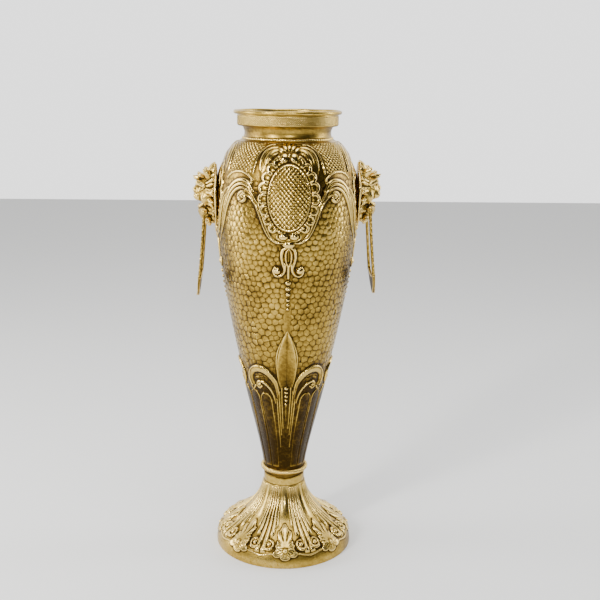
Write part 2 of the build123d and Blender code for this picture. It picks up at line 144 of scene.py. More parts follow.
# ------------------------------------------------------------------ relief on a turned surface
class Relief:
    """A height map in millimetres over (degrees, z) on a turned surface."""

    def __init__(self, line, columns):
        self.line = line
        self.columns = columns
        self.deg = np.arange(columns) * 360.0 / columns
        self.r, self.z = line[:, 0], line[:, 1]
        self.h = np.zeros((len(line), columns))
        self.plain = np.zeros_like(self.h)      # 1 where the hammer marks give way to chasing
        self.stipple = np.zeros_like(self.h)    # 1 where the ground is punched
        self.crease = np.zeros_like(self.h)     # 1 in the creases between hammer marks
        self.dark_shift = np.zeros_like(self.h)    # extra darkening; on the body it also holds painted shade, on the collar a painted highlight

    def radius(self, z):
        return np.interp(z, self.z, self.r)

    def spot(self, x, z, deg=0.0):
        """(degrees, z) of a place x millimetres across from deg."""
        return deg + math.degrees(x / self.radius(z)), z

    def local(self, middle, half_deg, z_low, z_high):
        """Index of a window round a motif, with x across from its middle and z, in millimetres."""
        rows = np.flatnonzero((self.z >= z_low) & (self.z <= z_high))
        offset = (self.deg - middle + 180) % 360 - 180
        cols = np.flatnonzero(np.abs(offset) <= half_deg)
        x = np.radians(offset[cols])[None, :] * self.r[rows][:, None]
        z = np.repeat(self.z[rows][:, None], len(cols), 1)
        return np.ix_(rows, cols), x, z

    def put(self, at, height, mode="max", clear=0.0):
        """Lays a height on the map and keeps the hammer marks off it."""
        self.h[at] = np.maximum(self.h[at], height) if mode == "max" else self.h[at] + height
        self.plain[at] = np.maximum(self.plain[at], clear)

    def stroke(self, points, width, height, middles, taper=(1, 1), bulge=0.0, mirror=True, steps=10,
               groove=False):
        """A round ridge along a line of (degrees, z) points; a groove has a negative height and is added."""
        line = np.asarray(points, float) if steps is None else curve_through(points, steps)
        for middle in middles:
            for sign in ((1, -1) if mirror else (1,)):
                self.one_stroke(line * [sign, 1], middle, width, height, taper, bulge, groove)

    def one_stroke(self, line, middle, width, height, taper, bulge, groove):
        clear_to = 1.8
        deg_low, deg_high = line[:, 0].min(), line[:, 0].max()
        z_low, z_high = line[:, 1].min(), line[:, 1].max()
        centre = (deg_low + deg_high) / 2
        reach = width * max(*taper, 1 + bulge) * clear_to + 0.5
        half = (deg_high - deg_low) / 2 + math.degrees(reach / self.radius(line[:, 1]).min())
        at, x, z = self.local(middle + centre, half, z_low - reach, z_high + reach)
        px = np.radians(line[:, 0] - centre) * self.radius(line[:, 1])
        pz = line[:, 1]
        best = np.full(x.shape, 1e9)
        where = np.zeros(x.shape)
        count = len(px) - 1
        for i in range(count):
            ax, az, bx, bz = px[i], pz[i], px[i + 1], pz[i + 1]
            length = (bx - ax) ** 2 + (bz - az) ** 2 + 1e-9
            t = np.clip(((x - ax) * (bx - ax) + (z - az) * (bz - az)) / length, 0, 1)
            d = (x - ax - t * (bx - ax)) ** 2 + (z - az - t * (bz - az)) ** 2
            closer = d < best
            best = np.where(closer, d, best)
            where = np.where(closer, (i + t) / count, where)
        scale = taper[0] + (taper[1] - taper[0]) * where + bulge * np.sin(math.pi * where)
        q = np.sqrt(best) / (width * np.maximum(scale, 0.05))
        profile = np.exp(-(q**2) * 1.6) if groove else dome(q)
        rise = height * np.minimum(scale, 1.0) * profile
        self.put(at, rise, "add" if groove else "max", 1 - smooth(q, 1.0, clear_to))

    def strokes(self, middles, rows):
        """Several mirrored ridges, as rows of points, width, height, taper and bulge."""
        for points, width, height, taper, bulge in rows:
            self.stroke(points, width, height, middles, taper, bulge)

    def blob(self, centre, half_x, half_z, height, middles, mirror=True, tilt=0.0):
        """A rounded knob at (degrees, z)."""
        clear_to = 1.5
        reach = max(half_x, half_z) * clear_to
        half = math.degrees(reach / self.radius(centre[1]))
        for middle in middles:
            for sign in ((1, -1) if mirror and centre[0] else (1,)):
                at, x, z = self.local(middle + sign * centre[0], half, centre[1] - reach, centre[1] + reach)
                c, s = math.cos(math.radians(tilt * sign)), math.sin(math.radians(tilt * sign))
                dz = z - centre[1]
                u, v = (x * c + dz * s) / half_x, (-x * s + dz * c) / half_z
                q = np.sqrt(u**2 + v**2)
                self.put(at, height * dome(q), "max", 1 - smooth(q, 1.0, clear_to))

    def hammer(self, z_low, z_high, pitch, depth):
        """Planishing marks: small flat faces, each tipped its own way, with creases between them."""
        margin, row_gap, fade = 10.0, 0.87, 14.0
        tip_slope, lift_height, bowl, crease_depth = 0.040, 0.06, 0.30, 0.22
        rows_z, z = [], z_low - margin
        while z < z_high + margin:
            rows_z.append(z)
            z += pitch(z) * row_gap
        rows_z = np.array(rows_z)
        counts = np.array([max(8, round(2 * math.pi * self.radius(z) / pitch(z))) for z in rows_z])
        pitches = np.array([pitch(z) for z in rows_z])
        nearest = np.argmin(np.abs(self.z[:, None] - rows_z[None, :]), 1)
        shape = (len(rows_z), counts.max() + 2)
        jitter = RNG.uniform(-1, 1, (*shape, 2))
        tip = RNG.normal(0, 1, (*shape, 2))
        lift = RNG.uniform(-1, 1, shape)
        first = np.full(self.h.shape, 1e9)
        second = first.copy()
        face = np.zeros_like(first)
        for step in (-1, 0, 1):
            row = np.clip(nearest + step, 0, len(rows_z) - 1)[:, None]
            count, p = counts[row], pitches[row]
            place = self.deg[None, :] / 360.0 * count - 0.5 * (row % 2)
            stray = p * (0.19 + 0.08 * smooth(-rows_z[row], -330, -260))
            for side in (-1, 0, 1):
                cell = np.floor(place + 0.5) + side
                index = np.mod(cell, count).astype(int)
                dx = (place - cell) * 2 * math.pi * self.r[:, None] / count - jitter[row, index, 0] * stray
                dz = self.z[:, None] - rows_z[row] - jitter[row, index, 1] * stray
                d = np.hypot(dx, dz) / (p * 0.5)
                nearer = d < first
                second = np.where(nearer, first, np.minimum(second, d))
                tipped = (dx * tip[row, index, 0] + dz * tip[row, index, 1]) * tip_slope
                tipped = tipped + lift_height * lift[row, index]
                face = np.where(nearer, tipped - depth * bowl * d**2, face)
                first = np.where(nearer, d, first)
        crease = 1 - smooth(second - first, 0.0, 0.26)
        inside = smooth(self.z, z_low, z_low + fade) * (1 - smooth(self.z, z_high - fade, z_high))
        inside = inside[:, None] * (1 - self.plain)
        self.h += (face - depth * crease_depth * crease) * inside
        self.crease += crease * inside

    def wear(self):
        """Nearly 0 on high spots, 0.4 on open ground and up to 1 in the recesses, before the extra darkening
        is added.
        """
        near = blurred(self.h, (2, 2)) - self.h
        far = blurred(self.h, (7, 9)) - self.h
        hollow = 0.40 + 1.15 * (0.26 * near / 0.35 + 0.22 * far / 0.9)
        return np.clip(hollow + 0.10 * self.crease + self.dark_shift, 0, 1)


def write_mesh(name, verts, quads, attributes, uv=None):
    """A mesh object from arrays, with float attributes on its points."""
    mesh = bpy.data.meshes.new(name)
    mesh.vertices.add(len(verts))
    mesh.vertices.foreach_set("co", (np.asarray(verts) * MM).astype(np.float32).ravel())
    mesh.loops.add(quads.size)
    mesh.loops.foreach_set("vertex_index", quads.astype(np.int32).ravel())
    mesh.polygons.add(len(quads))
    mesh.polygons.foreach_set("loop_start", np.arange(0, quads.size, 4, dtype=np.int32))
    mesh.update(calc_edges=True)
    if uv is not None:
        layer = mesh.uv_layers.new(name="OFBake")
        layer.data.foreach_set("uv", uv.astype(np.float32).ravel())
    for key, values in attributes.items():
        layer = mesh.attributes.new(key, "FLOAT", "POINT")
        layer.data.foreach_set("value", values.astype(np.float32).ravel())
    mesh.shade_smooth()
    piece = bpy.data.objects.new(name, mesh)
    bpy.context.scene.collection.objects.link(piece)
    return piece


def finish_piece(piece, body, nodes, material):
    """Says what a piece rides on, what it replaces and which material slot it has."""
    piece.data.materials.append(material)
    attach(piece, body)
    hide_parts(*nodes)


def ring_faces(rows, columns):
    """Quads and corner UVs of a grid that closes on itself both ways."""
    i, j = np.meshgrid(np.arange(rows), np.arange(columns), indexing="ij")
    i2, j2 = (i + 1) % rows, (j + 1) % columns
    quads = np.stack([i * columns + j, i * columns + j2, i2 * columns + j2, i2 * columns + j], -1)
    u0, u1, v0, v1 = j / columns, (j + 1) / columns, i / rows, (i + 1) / rows
    uv = np.stack([u0, v0, u1, v0, u1, v1, u0, v1], -1).reshape(-1, 4, 2)
    return quads.reshape(-1, 4), uv


def round_axis(r, angle, z):
    """Points at a radius, an angle from the front and a height."""
    return np.stack([r * np.sin(angle), -r * np.cos(angle), z], -1).reshape(-1, 3)


def wall(name, relief, inner):
    """A closed turned wall: the outer line with its relief, then the smooth inner line back down."""
    raised = relief.line[:, None] + normals(relief.line)[:, None] * relief.h[..., None]
    inside = np.repeat(np.asarray(inner)[:, None], relief.columns, 1)
    r, z = np.moveaxis(np.vstack([raised, inside]), -1, 0)
    verts = round_axis(r, np.radians(relief.deg)[None, :], z)
    quads, uv = ring_faces(len(r), relief.columns)
    pad = np.zeros((len(inner), relief.columns))
    dark = np.vstack([relief.wear(), pad + 0.75])
    stipple = np.vstack([relief.stipple, pad])
    return write_mesh(name, verts, quads, {"wear": dark, "stipple": stipple}, uv)


# ------------------------------------------------------------------ body
BODY_STEP, BODY_COLUMNS = 0.72, 800
CARTOUCHE_Z, CARTOUCHE_HALF = 504.2, (26.4, 40.8)
RELIEF_DEPTH = 0.70          # how much of its drawn height the chasing has kept
CALYX = (0, 120, 240)        # centres of the leaves round the lower body


def body_line():
    """Outer line of the body from its lower edge to the inside of the land under the collar."""
    rise, shoulder = BELLY_Z - BASE_Z, LAND_Z - BELLY_Z
    low = bezier((BASE_R, BASE_Z + 6), (BASE_R, BASE_Z + 0.11 * rise),
                 (BELLY_R, BELLY_Z - 0.365 * rise), (BELLY_R, BELLY_Z))
    high = bezier((BELLY_R, BELLY_Z), (BELLY_R, BELLY_Z + 0.69 * shoulder),
                  (LAND_R + 0.42 * (BELLY_R - LAND_R), LAND_Z - 0.10 * shoulder), (LAND_R, LAND_Z))
    return even(np.vstack([[(BASE_R, BASE_Z)], low, high[1:], [(MOUTH_HOLE_R, LAND_Z)]]), BODY_STEP)


def net(x, z, wide, high):
    """Diagonal net of raised lozenges with sharp grooves between them: 1 on their tops."""
    a, b = x / wide + z / high, x / wide - z / high
    edge = np.minimum(np.abs(a - np.round(a)), np.abs(b - np.round(b)))
    return smooth(edge, 0.04, 0.42) ** 0.8


def cartouche(relief):
    """A domed oval with a fine net, a thin rim, and C-shaped petals round it."""
    half_x, half_z = CARTOUCHE_HALF
    for middle in FRONTS:
        at, x, z = relief.local(middle, 40, CARTOUCHE_Z - 62, CARTOUCHE_Z + 62)
        dz = z - CARTOUCHE_Z
        q = np.hypot(x / half_x, dz / half_z)
        height = 3.6 * dome(q) ** 0.8 + (1.25 * net(x, dz, 5.4, 6.6) - 0.7) * (1 - smooth(q, 0.93, 0.97))
        for size, place, width in ((1.9, 1.0, 1.0), (-1.3, 1.08, 1.2), (1.6, 1.28, 5.0)):
            height += size * bell((q - place) * half_x, width)      # rim, trench and outer swell
        relief.put(at, height, "add", 1 - smooth(q, 1.45, 1.7))

    def beside(away, turn):
        """A place outside the oval, as x and z, seen from its middle."""
        return (half_x + away) * math.cos(turn), CARTOUCHE_Z + (half_z + away) * math.sin(turn)

    petals = 8
    for k in range(petals):
        x0, z0 = beside(6.2, math.radians(-52 + 118 * k / (petals - 1)))
        facing = math.degrees(math.atan2((z0 - CARTOUCHE_Z) / half_z**2, x0 / half_x**2))
        size = 5.6 - 0.35 * abs(k - 4)
        swings = [math.radians(facing - 118 + 236 * step / 10) for step in range(11)]
        arc = [relief.spot(x0 + size * math.cos(swing), z0 + 1.08 * size * math.sin(swing))
               for swing in swings]
        relief.stroke(arc, 2.0, 3.4, FRONTS, (0.8, 0.8), 0.5, steps=3)
        inward = math.radians(facing)
        relief.blob(relief.spot(x0 - 1.5 * math.cos(inward), z0 - 1.5 * math.sin(inward)),
                    size * 0.62, size * 0.5, 1.7, FRONTS, tilt=facing + 90)
    for k in range(5):
        relief.blob(relief.spot(*beside(4.4, math.radians(-80 + 6.3 * k))), 2.3, 2.3, 2.9, FRONTS)
    relief.blob((4.2, 456.2), 5.8, 4.6, 5.2, FRONTS)
    relief.stroke([(0.4, 452.5), (4, 450.8), (8.5, 453.5), (9.4, 458)], 1.2, 2.6, FRONTS)


def crown(relief):
    """Fan, eggs and acanthus leaves over the cartouche, under a plain arch."""
    relief.blob((4.3, 553.5), 5.2, 6.2, 5.0, FRONTS)
    relief.blob((0, 556), 2.2, 3.0, 3.6, FRONTS)
    for lean, top, tilt in ((0, 570.2, 0), (4.0, 569.2, -20), (7.6, 566.4, -42)):
        relief.blob((lean, top - 4.0), 3.0, 5.4, 4.2, FRONTS, tilt=tilt)
    for z0, deg in ((548.5, 12.4), (553.5, 9.6)):
        relief.blob((deg, z0), 3.2, 2.6, 3.6, FRONTS, tilt=-35)
    relief.strokes(FRONTS, (
        ([(10.5, 562.5), (15, 560), (18.8, 553), (20.4, 544)], 4.3, 3.6, (0.6, 0.45), 0.45),
        ([(8, 561), (14, 558), (19.5, 549), (21.6, 538), (22.4, 528)], 5.0, 1.2, (0.7, 0.35), 0.8),
        ([(11, 558.5), (14.4, 556), (16.6, 551)], 1.4, 3.9, (0.7, 0.7), 0),
        ([(12, 565.5), (17.5, 564.5), (22.5, 559), (24.8, 549), (24.6, 538)], 2.6, 3.0, (0.7, 0.35), 0.4),
        ([(14.5, 568.6), (20, 567.6), (25, 563.0), (28.2, 555.5), (29.6, 545), (30.4, 534)],
         1.05, 2.4, (0.8, 1.0), 0)))


def shoulder_panels(relief):
    """Cross-hatched panels between the arches, with a raised edge."""
    along = np.concatenate([[0], np.cumsum(np.hypot(*np.diff(relief.line, axis=0).T))])
    for middle in (45, 135, 225, 315):
        at, x, z = relief.local(middle, 19.5, 524, 569.8)
        deg = np.degrees(x / relief.r[at[0]])
        edge = 13.6 + 5.5 * smooth(z, 550, 566)
        low = 531.0 + 4.0 * np.cos(np.radians(deg * 7.0))
        inside = (1 - smooth(np.abs(deg), edge - 0.6, edge)) * smooth(z, low, low + 1.0)
        hatch = 2.8 * net(deg, along[at[0]], 4.0, 5.4) - 1.3
        relief.put(at, hatch * inside, "add", np.maximum(inside, smooth(z, 524, 530)))
    lower_edge = [(30.6, 526), (35.5, 531.8), (41, 534.6), (45, 535.2), (49, 534.6), (54.5, 531.8),
                  (59.4, 526)]
    relief.stroke(lower_edge, 1.0, 1.9, FRONTS, mirror=False)


def s_scrolls(relief):
    """Long double ridges that rise beside the front ornaments and roll outwards into a volute."""
    band = [(3, 448.5), (9, 448.5), (14.6, 455.0), (18.6, 467), (21.8, 481), (24.6, 492.5), (28.2, 502),
            (32.4, 508.6), (36.4, 511.4)]
    relief.stroke(band, 4.0, 2.2, FRONTS, (0.35, 1.0), 0.1)
    for shift_deg, shift_z, wide, high in ((-1.75, 0.9, 1.25, 4.2), (1.65, -0.9, 1.35, 4.0)):
        rail = []
        for k, (deg, z) in enumerate(band):
            grow = 0.25 + 0.75 * k / (len(band) - 1)
            rail.append((deg + shift_deg * grow, z + (shift_z * 3.0 if k > 6 else shift_z) * grow))
        relief.stroke(rail, wide, high, FRONTS, (0.6, 1.0))
    eye_deg, eye_z = 39.0, 503.6
    volute = [relief.spot(x, eye_z + z, eye_deg) for x, z in spiral(7.2, 2.8, 112, -1.25, 30)]
    relief.stroke(volute, 2.1, 4.2, OPEN_FRONTS, (1.0, 0.8), steps=None)
    relief.blob((eye_deg, eye_z), 2.0, 2.0, 4.4, OPEN_FRONTS)


def crests(relief):
    """Sheaves of ridges that arch over the volutes and flow down beside the masks."""
    for k in range(3):
        lift = 4.7 * k
        out = 2.0 * k
        flow = [(30.4 - 0.5 * k, 505.5 + 0.7 * lift), (34.4 - 0.4 * k, 512.5 + 0.9 * lift),
                (39.6, 515.6 + lift), (45.6 + 0.5 * out, 513.0 + lift), (50.4 + out, 506.5 + 0.7 * lift),
                (54.6 + out, 496 + 0.3 * lift), (58.4 + out, 484), (63.0 + 0.8 * out, 467),
                (69.0 + 0.5 * out, 452 - 2 * k), (76.0, 441 - 2 * k)]
        relief.stroke(flow, 2.3, 3.9 - 0.5 * k, OPEN_FRONTS, (0.6, 0.1), 0.4 + 0.2 * k)
        relief.blob((32.6 - 0.8 * k, 519 + 3.4 * k), 2.0, 1.7, 1.6, OPEN_FRONTS)
    relief.stroke([(50.4, 490), (52.4, 486), (55.6, 470), (58.5, 458)], 1.4, 2.2, OPEN_FRONTS, (0.6, 0.3))


def pendant(relief):
    """Knob, hooded bell flower, two small volutes and a falling string of pearls."""
    relief.blob((0, 446.0), 7.6, 5.0, 5.2, FRONTS)
    relief.strokes(FRONTS, (
        ([(1.5, 442.5), (4.4, 439), (5.6, 431), (4.6, 422), (3.4, 415)], 2.1, 3.4, (0.9, 0.7), 0),
        ([(0, 441), (2.0, 436), (2.2, 427), (0.6, 419)], 1.4, 3.8, (0.9, 0.8), 0)))
    relief.stroke([(0, 438), (0, 431), (0, 424)], 1.6, -3.0, FRONTS, mirror=False, groove=True)
    volute = [(2.6, 420), (3.6, 411), (6.6, 405.5), (10.4, 405.5), (12.2, 411), (10.6, 416.0)]
    relief.stroke(volute, 1.9, 3.0, FRONTS, (1.0, 0.8))
    relief.blob((9.2, 411.6), 4.3, 4.3, 5.2, FRONTS)
    relief.stroke([(0, 418), (0, 410), (0, 402)], 1.7, 2.6, FRONTS, (1.0, 0.6), mirror=False)
    for k, z0 in enumerate((395.5, 387.5, 380, 372.6, 366, 360)):
        relief.blob((0, z0), 3.4 - 0.3 * k, 3.0 - 0.26 * k, 3.6 - 0.3 * k, FRONTS)
    for middle in OPEN_FRONTS:
        at, x, z = relief.local(middle, 10, 325, 402)
        relief.plain[at] = np.maximum(relief.plain[at], 0.9 * (1 - smooth(np.abs(x), 3.4, 6.0)))


def tongues(relief):
    """Round-topped punched tongues on the lower body, each with a thin raised edge."""
    shapes = {30: (236.0, 5.5), 50: (237.5, 3.0)}        # top and lean, by degrees from a leaf's middle
    for middle in range(10, 360, 20):
        gap = min(abs((middle - c + 180) % 360 - 180) for c in CALYX)
        if gap not in shapes:
            continue
        top, lean = shapes[gap]
        toward = -1 if min((middle - c) % 360 for c in CALYX) == gap else 1
        at, x, z = relief.local(middle, 16, 120, top)
        deg = np.degrees(x / relief.r[at[0]])
        half = 9.6 * dome(np.clip((z - (top - 13)) / 13, 0, 1))
        q = (deg - toward * lean * smooth(-z, -top, -150)) / np.maximum(half, 0.05)
        inside = 1 - smooth(np.abs(q), 0.80, 0.98)
        pad = 1.5 * inside * (1 - 0.35 * q**2)
        relief.put(at, pad, "add", np.maximum(inside, smooth(-z, -top, -top + 6)))
        edge_gap = (np.abs(q) - 0.93) * half * np.radians(1) * relief.r[at[0]]
        relief.put(at, pad + 1.5 * bell(edge_gap, 0.75) * (0.35 + 0.65 * smooth(z, 150, 215)))
        relief.stipple[at] = np.maximum(relief.stipple[at], inside)


def calyx(relief):
    """Leaf with a creased middle between curled petals, over the tongues of the lower body."""
    tongues(relief)
    petal = [(10.4, 226), (11.4, 238), (13.0, 249), (16.6, 257.5), (22, 264.5), (29, 269.6), (37, 270.6),
             (44.5, 267.4), (49.6, 260.4), (50.4, 252), (47.6, 245.6)]
    edge = [(10.0, 236), (12.6, 254), (19.6, 266), (29, 274.0), (37.5, 275.0), (46, 271.4), (52.6, 262.5),
            (53.6, 252.5), (51.0, 244.5)]
    furrow = [(15.6, 238), (18.6, 248.6), (25, 256.6), (33, 260.6), (40.6, 259.6), (45, 254.4)]
    curl = [(15.2, 222), (17.6, 233), (22.4, 243.0), (28.6, 249.6), (35, 252.2), (40.0, 250.4), (41.4, 245.4),
            (38.0, 242.6), (35.0, 245)]
    relief.stroke(petal, 4.4, 3.4, CALYX, (0.4, 0.55), 0.5)
    relief.stroke(edge, 1.25, 4.4, CALYX, (0.6, 0.9))
    relief.stroke(furrow, 1.5, -3.2, CALYX, (0.5, 0.8), groove=True)
    relief.stroke(curl, 2.4, 2.9, CALYX, (0.4, 0.7), 0.25)
    relief.blob((37.6, 247.4), 2.2, 2.0, 3.2, CALYX)
    relief.stroke([(45.6, 244), (50.4, 238.0), (54.5, 240.5)], 1.6, 2.2, CALYX, (1.0, 0.6))
    leaf(relief)
    for middle in CALYX:
        at, x, z = relief.local(middle, 24, 150, 250)
        relief.dark_shift[at] += 0.34 * bell(x, 7.0) * smooth(z, 160, 200) * (1 - smooth(z, 236, 252))


def leaf(relief):
    """The tall pointed leaf over the stem, creased down its middle."""
    for middle in CALYX:
        at, x, z = relief.local(middle, 16, 232, 331)
        t = np.clip((z - 236) / 93, 0, 1)
        half = 13.0 * np.sin(math.pi * t**0.86) ** 0.75 + 1.4 * (1 - t)
        q = np.abs(x) / np.maximum(half, 0.3)
        blade = (1 - smooth(q, 0.86, 1.05)) * smooth(z, 236, 250) * (1 - smooth(z, 322, 329))
        rise = 2.0 * blade * (0.25 + 0.75 * q**0.9)
        relief.put(at, rise, "max", np.maximum(blade, 1 - smooth(q, 1.0, 1.4)))
    relief.strokes(CALYX, (
        ([(0, 329), (5.0, 316), (9.6, 302), (12.0, 287), (11.4, 271), (8.2, 256), (5.2, 244)],
         1.1, 2.0, (0.5, 0.9), 0),
        ([(5.8, 246), (5.9, 230), (5.4, 205), (4.4, 182)], 1.2, 2.4, (1.0, 0.5), 0),
        ([(9.2, 240), (9.2, 222), (8.8, 200), (7.4, 172)], 1.3, 2.2, (1.0, 0.5), 0),
        ([(12.9, 228), (12.4, 205), (11.2, 180), (9.6, 152)], 1.0, 1.6, (1.0, 0.6), 0)))
    for k in range(5):
        relief.blob((0, 245 - 6.0 * k), 3.0 - 0.25 * k, 2.6 - 0.2 * k, 3.8, CALYX)
    relief.stroke([(0, 218), (0, 200), (0, 178)], 2.0, -2.6, CALYX, (1.0, 0.5), mirror=False, groove=True)


def marks_pitch(z):
    """Spacing of the hammer marks: finer on the belly than low down."""
    return float(np.interp(z, (240, 330, 420, 520), (9.4, 8.8, 7.9, 7.4)))


def make_body():
    relief = Relief(body_line(), BODY_COLUMNS)
    shoulder_panels(relief)
    cartouche(relief)
    crown(relief)
    top = smooth(relief.z, 535, 566)[:, None]
    side = bell(relief.deg % 180 - 90, 26)[None, :]      # over the masks the relief is flatter
    relief.h *= (1 - 0.30 * top) * (1 - 0.6 * side * smooth(relief.z, 528, 545)[:, None])
    s_scrolls(relief)
    crests(relief)
    pendant(relief)
    calyx(relief)
    relief.h *= RELIEF_DEPTH
    relief.hammer(240, 533, marks_pitch, 0.80)
    relief.crease *= 0.55
    # Painted shade: the body is darker below the belly, more so below z 300 and most on the stem; the punched
    # ground is darker as well
    lower = (1 - smooth(relief.z, 215, 300)) * 0.25 + 0.10 * smooth(-relief.z, -470, -380)
    stem = 1 - smooth(relief.z, 165, 215)[:, None]
    relief.dark_shift += 0.17 + lower[:, None] + 0.10 * relief.stipple * (1 - stem) + 0.12 * stem
    relief.stipple = np.maximum(relief.stipple, stem)
    piece = wall("body_relief", relief, inner_line(relief.line, 6))
    finish_piece(piece, "vase", ["body_shell"], brass("chased_body", BODY_LOOK))


# ------------------------------------------------------------------ foot
FOOT_STEP, FOOT_COLUMNS = 0.55, 960
FOOT_EDGE = 6.0              # how far in from FOOT_R the flat edge under the foot reaches
PALMETTES = tuple(range(0, 360, 45))
FLARE_SLOPE = 0.66           # rise in z for each millimetre along the low part of the flare


def foot_line():
    """Outer line of the foot from its flat lower edge up the skirt and the flare."""
    run, rise = SKIRT_TOP_R - STEM_R, FOOT_TOP - SKIRT_H
    flare = bezier((SKIRT_TOP_R, SKIRT_H), (SKIRT_TOP_R - 0.42 * run, SKIRT_H + 0.27 * rise),
                   (STEM_R + 0.08 * run, FOOT_TOP - 0.56 * rise), (STEM_R, FOOT_TOP))
    skirt = bezier((FOOT_R - 0.4, 0), (FOOT_R - 0.2, 6), (FOOT_R - 2.2, 15),
                   (SKIRT_TOP_R - 3.0, SKIRT_H + 3.0))
    return even(np.vstack([[(FOOT_R - FOOT_EDGE, 0)], skirt, flare[14:]]), FOOT_STEP)


def palmettes(relief):
    """Eight pointed leaves with veins, each on a flat scalloped base with a pearl."""
    for middle in PALMETTES:
        at, x, z = relief.local(middle, 20, 7, 51)
        side = np.abs(x)
        base = np.full(x.shape, -9.0)
        for across, up, size in ((0, 15.6, 7.0), (11.3, 18.4, 5.6), (0, 24.5, 12.5)):
            base = np.maximum(base, size - np.hypot(side - across, (z - up) / FLARE_SLOPE))
        far = np.hypot(x, (z - 24) / FLARE_SLOPE)
        turn = np.arctan2(side, (z - 24) / FLARE_SLOPE)
        lobe = np.cos(turn * 360 / 25)
        reach = (14 + 19.5 * np.maximum(np.cos(turn), 0) ** 8) * (0.92 + 0.08 * lobe)
        blade = reach - far
        vein = smooth(far, 8, 13) * (0.5 - 0.5 * lobe) ** 2 * smooth(blade, 0, 3)
        rise = smooth(blade, -0.6, 1.2) * (2.2 + 1.2 * smooth(blade, 0, 8)) - 1.2 * vein * (blade > 0)
        relief.put(at, np.maximum(2.2 * smooth(base, -0.8, 0.8), rise))
        outline = bell(np.maximum(base, blade) + 1.0, 0.8)
        pearl = bell(np.hypot(x, (z - 22.0) / FLARE_SLOPE) - 4.0, 0.9)
        relief.dark_shift[at] += 0.36 * outline + 0.22 * vein + 0.36 * pearl
    relief.blob((0, 22.0), 3.4, 2.3, 5.4, PALMETTES)


def foot_volutes(relief):
    """Facing volutes between the palmettes, each the rolled end of a flute."""
    eye_deg, eye_z = 15.4, 27.0
    points = [relief.spot(x, eye_z + FLARE_SLOPE * z, eye_deg) for x, z in spiral(6.9, 4.4, 20, -1.05, 34)]
    relief.stroke(points, 1.5, 3.2, PALMETTES, (1.0, 0.8), steps=None)
    relief.blob((eye_deg, eye_z), 3.1, 2.1, 3.9, PALMETTES)
    for middle in PALMETTES:
        at, x, z = relief.local(middle, 32, 16, 40)
        across = np.abs(x) - math.radians(eye_deg) * relief.radius(eye_z)
        far = np.hypot(across, (z - eye_z) / FLARE_SLOPE)
        relief.dark_shift[at] += 0.36 * (bell(far - 4.3, 0.9) + bell(far - 8.9, 0.8))


def flutes(relief):
    """Upright ridges from the volutes to the stem, in groups over the gaps between the palmettes."""
    z = relief.z[:, None]
    away = np.abs(relief.deg[None, :] % 45 - 22.5)
    high = 2.4 - 0.8 * smooth(z, 26, FOOT_TOP)
    end = 1 - smooth(z, FOOT_TOP - 3.5, FOOT_TOP - 1)
    for middle, low, half, share in ((2.7, 17, 2.3, 1.0), (8.1, 33, 2.3, 1.0), (12.6, 40, 1.4, 0.55)):
        ridge = dome((away - middle) / half) * high * share
        relief.h = np.maximum(relief.h, ridge * smooth(z, low, low + 5) * end)
        groove = bell(away - middle - half - 0.3, 0.7) * smooth(z, low + 2, low + 8) * end
        relief.dark_shift += 0.34 * groove * share
    relief.dark_shift += 0.34 * bell(away, 0.7) * smooth(z, 22, 28) * end
    lobe = 1.1 * bell(away - 22.5, 7.0) * smooth(z, 40, 60) * (1 - smooth(z, 80, 100))
    relief.h = np.maximum(relief.h, lobe)
    relief.stroke([(9.5, 17.5), (13, 18.4), (18, 16.8), (22.5, 15.8)], 1.2, 1.5, PALMETTES, (0.6, 1.0))


def make_foot():
    relief = Relief(foot_line(), FOOT_COLUMNS)
    palmettes(relief)
    foot_volutes(relief)
    flutes(relief)
    relief.h *= 0.85 * smooth(relief.z, 2, 8)[:, None]
    relief.dark_shift += 0.10 * (1 - smooth(relief.z, 10, 22))[:, None]
    inner = inner_line(relief.line, 5)
    inner = np.vstack([inner[inner[:, 1] > SHEET], [(FOOT_R - FOOT_EDGE, SHEET)]])
    piece = wall("foot_relief", relief, inner)
    finish_piece(piece, "vase", ["foot_shell"], brass("chased_foot", FOOT_LOOK))


# ------------------------------------------------------------------ collar, band and rope
COLLAR_STEP, COLLAR_COLUMNS = 0.42, 720
PUNCHED_R = 66.7             # radius of the punched band
ROPE_LIFT = 1.8              # the twist sits high on its ring, over a dark gap


def collar_line():
    """Outer line of the collar: cove, step, upright punched band and rolled lip."""
    foot_r, throat_r, top_r = 66.0, 56.7, 60.5
    top_z, band_top = LAND_Z + 20.0, LAND_Z + 34.6
    cove = bezier((foot_r, LAND_Z + 0.3), (throat_r - 0.3, LAND_Z + 2.5),
                  (throat_r - 1.6, LAND_Z + 13.0), (top_r, top_z - 0.5))
    step = bezier((top_r, top_z - 0.5), (PUNCHED_R - 2, top_z - 0.5), (PUNCHED_R, top_z - 0.4),
                  (PUNCHED_R, top_z + 2))
    lip = bezier((PUNCHED_R, band_top - 1), (PUNCHED_R, band_top + 1.4), (PUNCHED_R + 0.6, band_top + 1.8),
                 (PUNCHED_R + 1.8, band_top + 2.0))
    bead_r, bead_z, bead = PUNCHED_R + 2.2, band_top + 2.8, 2.6
    turn = np.radians(np.linspace(-115, 160, 40))
    roll = np.stack([bead_r + bead * np.cos(turn), bead_z + bead * np.sin(turn)], 1)
    return even(np.vstack([cove, step[1:], lip, roll]), COLLAR_STEP)


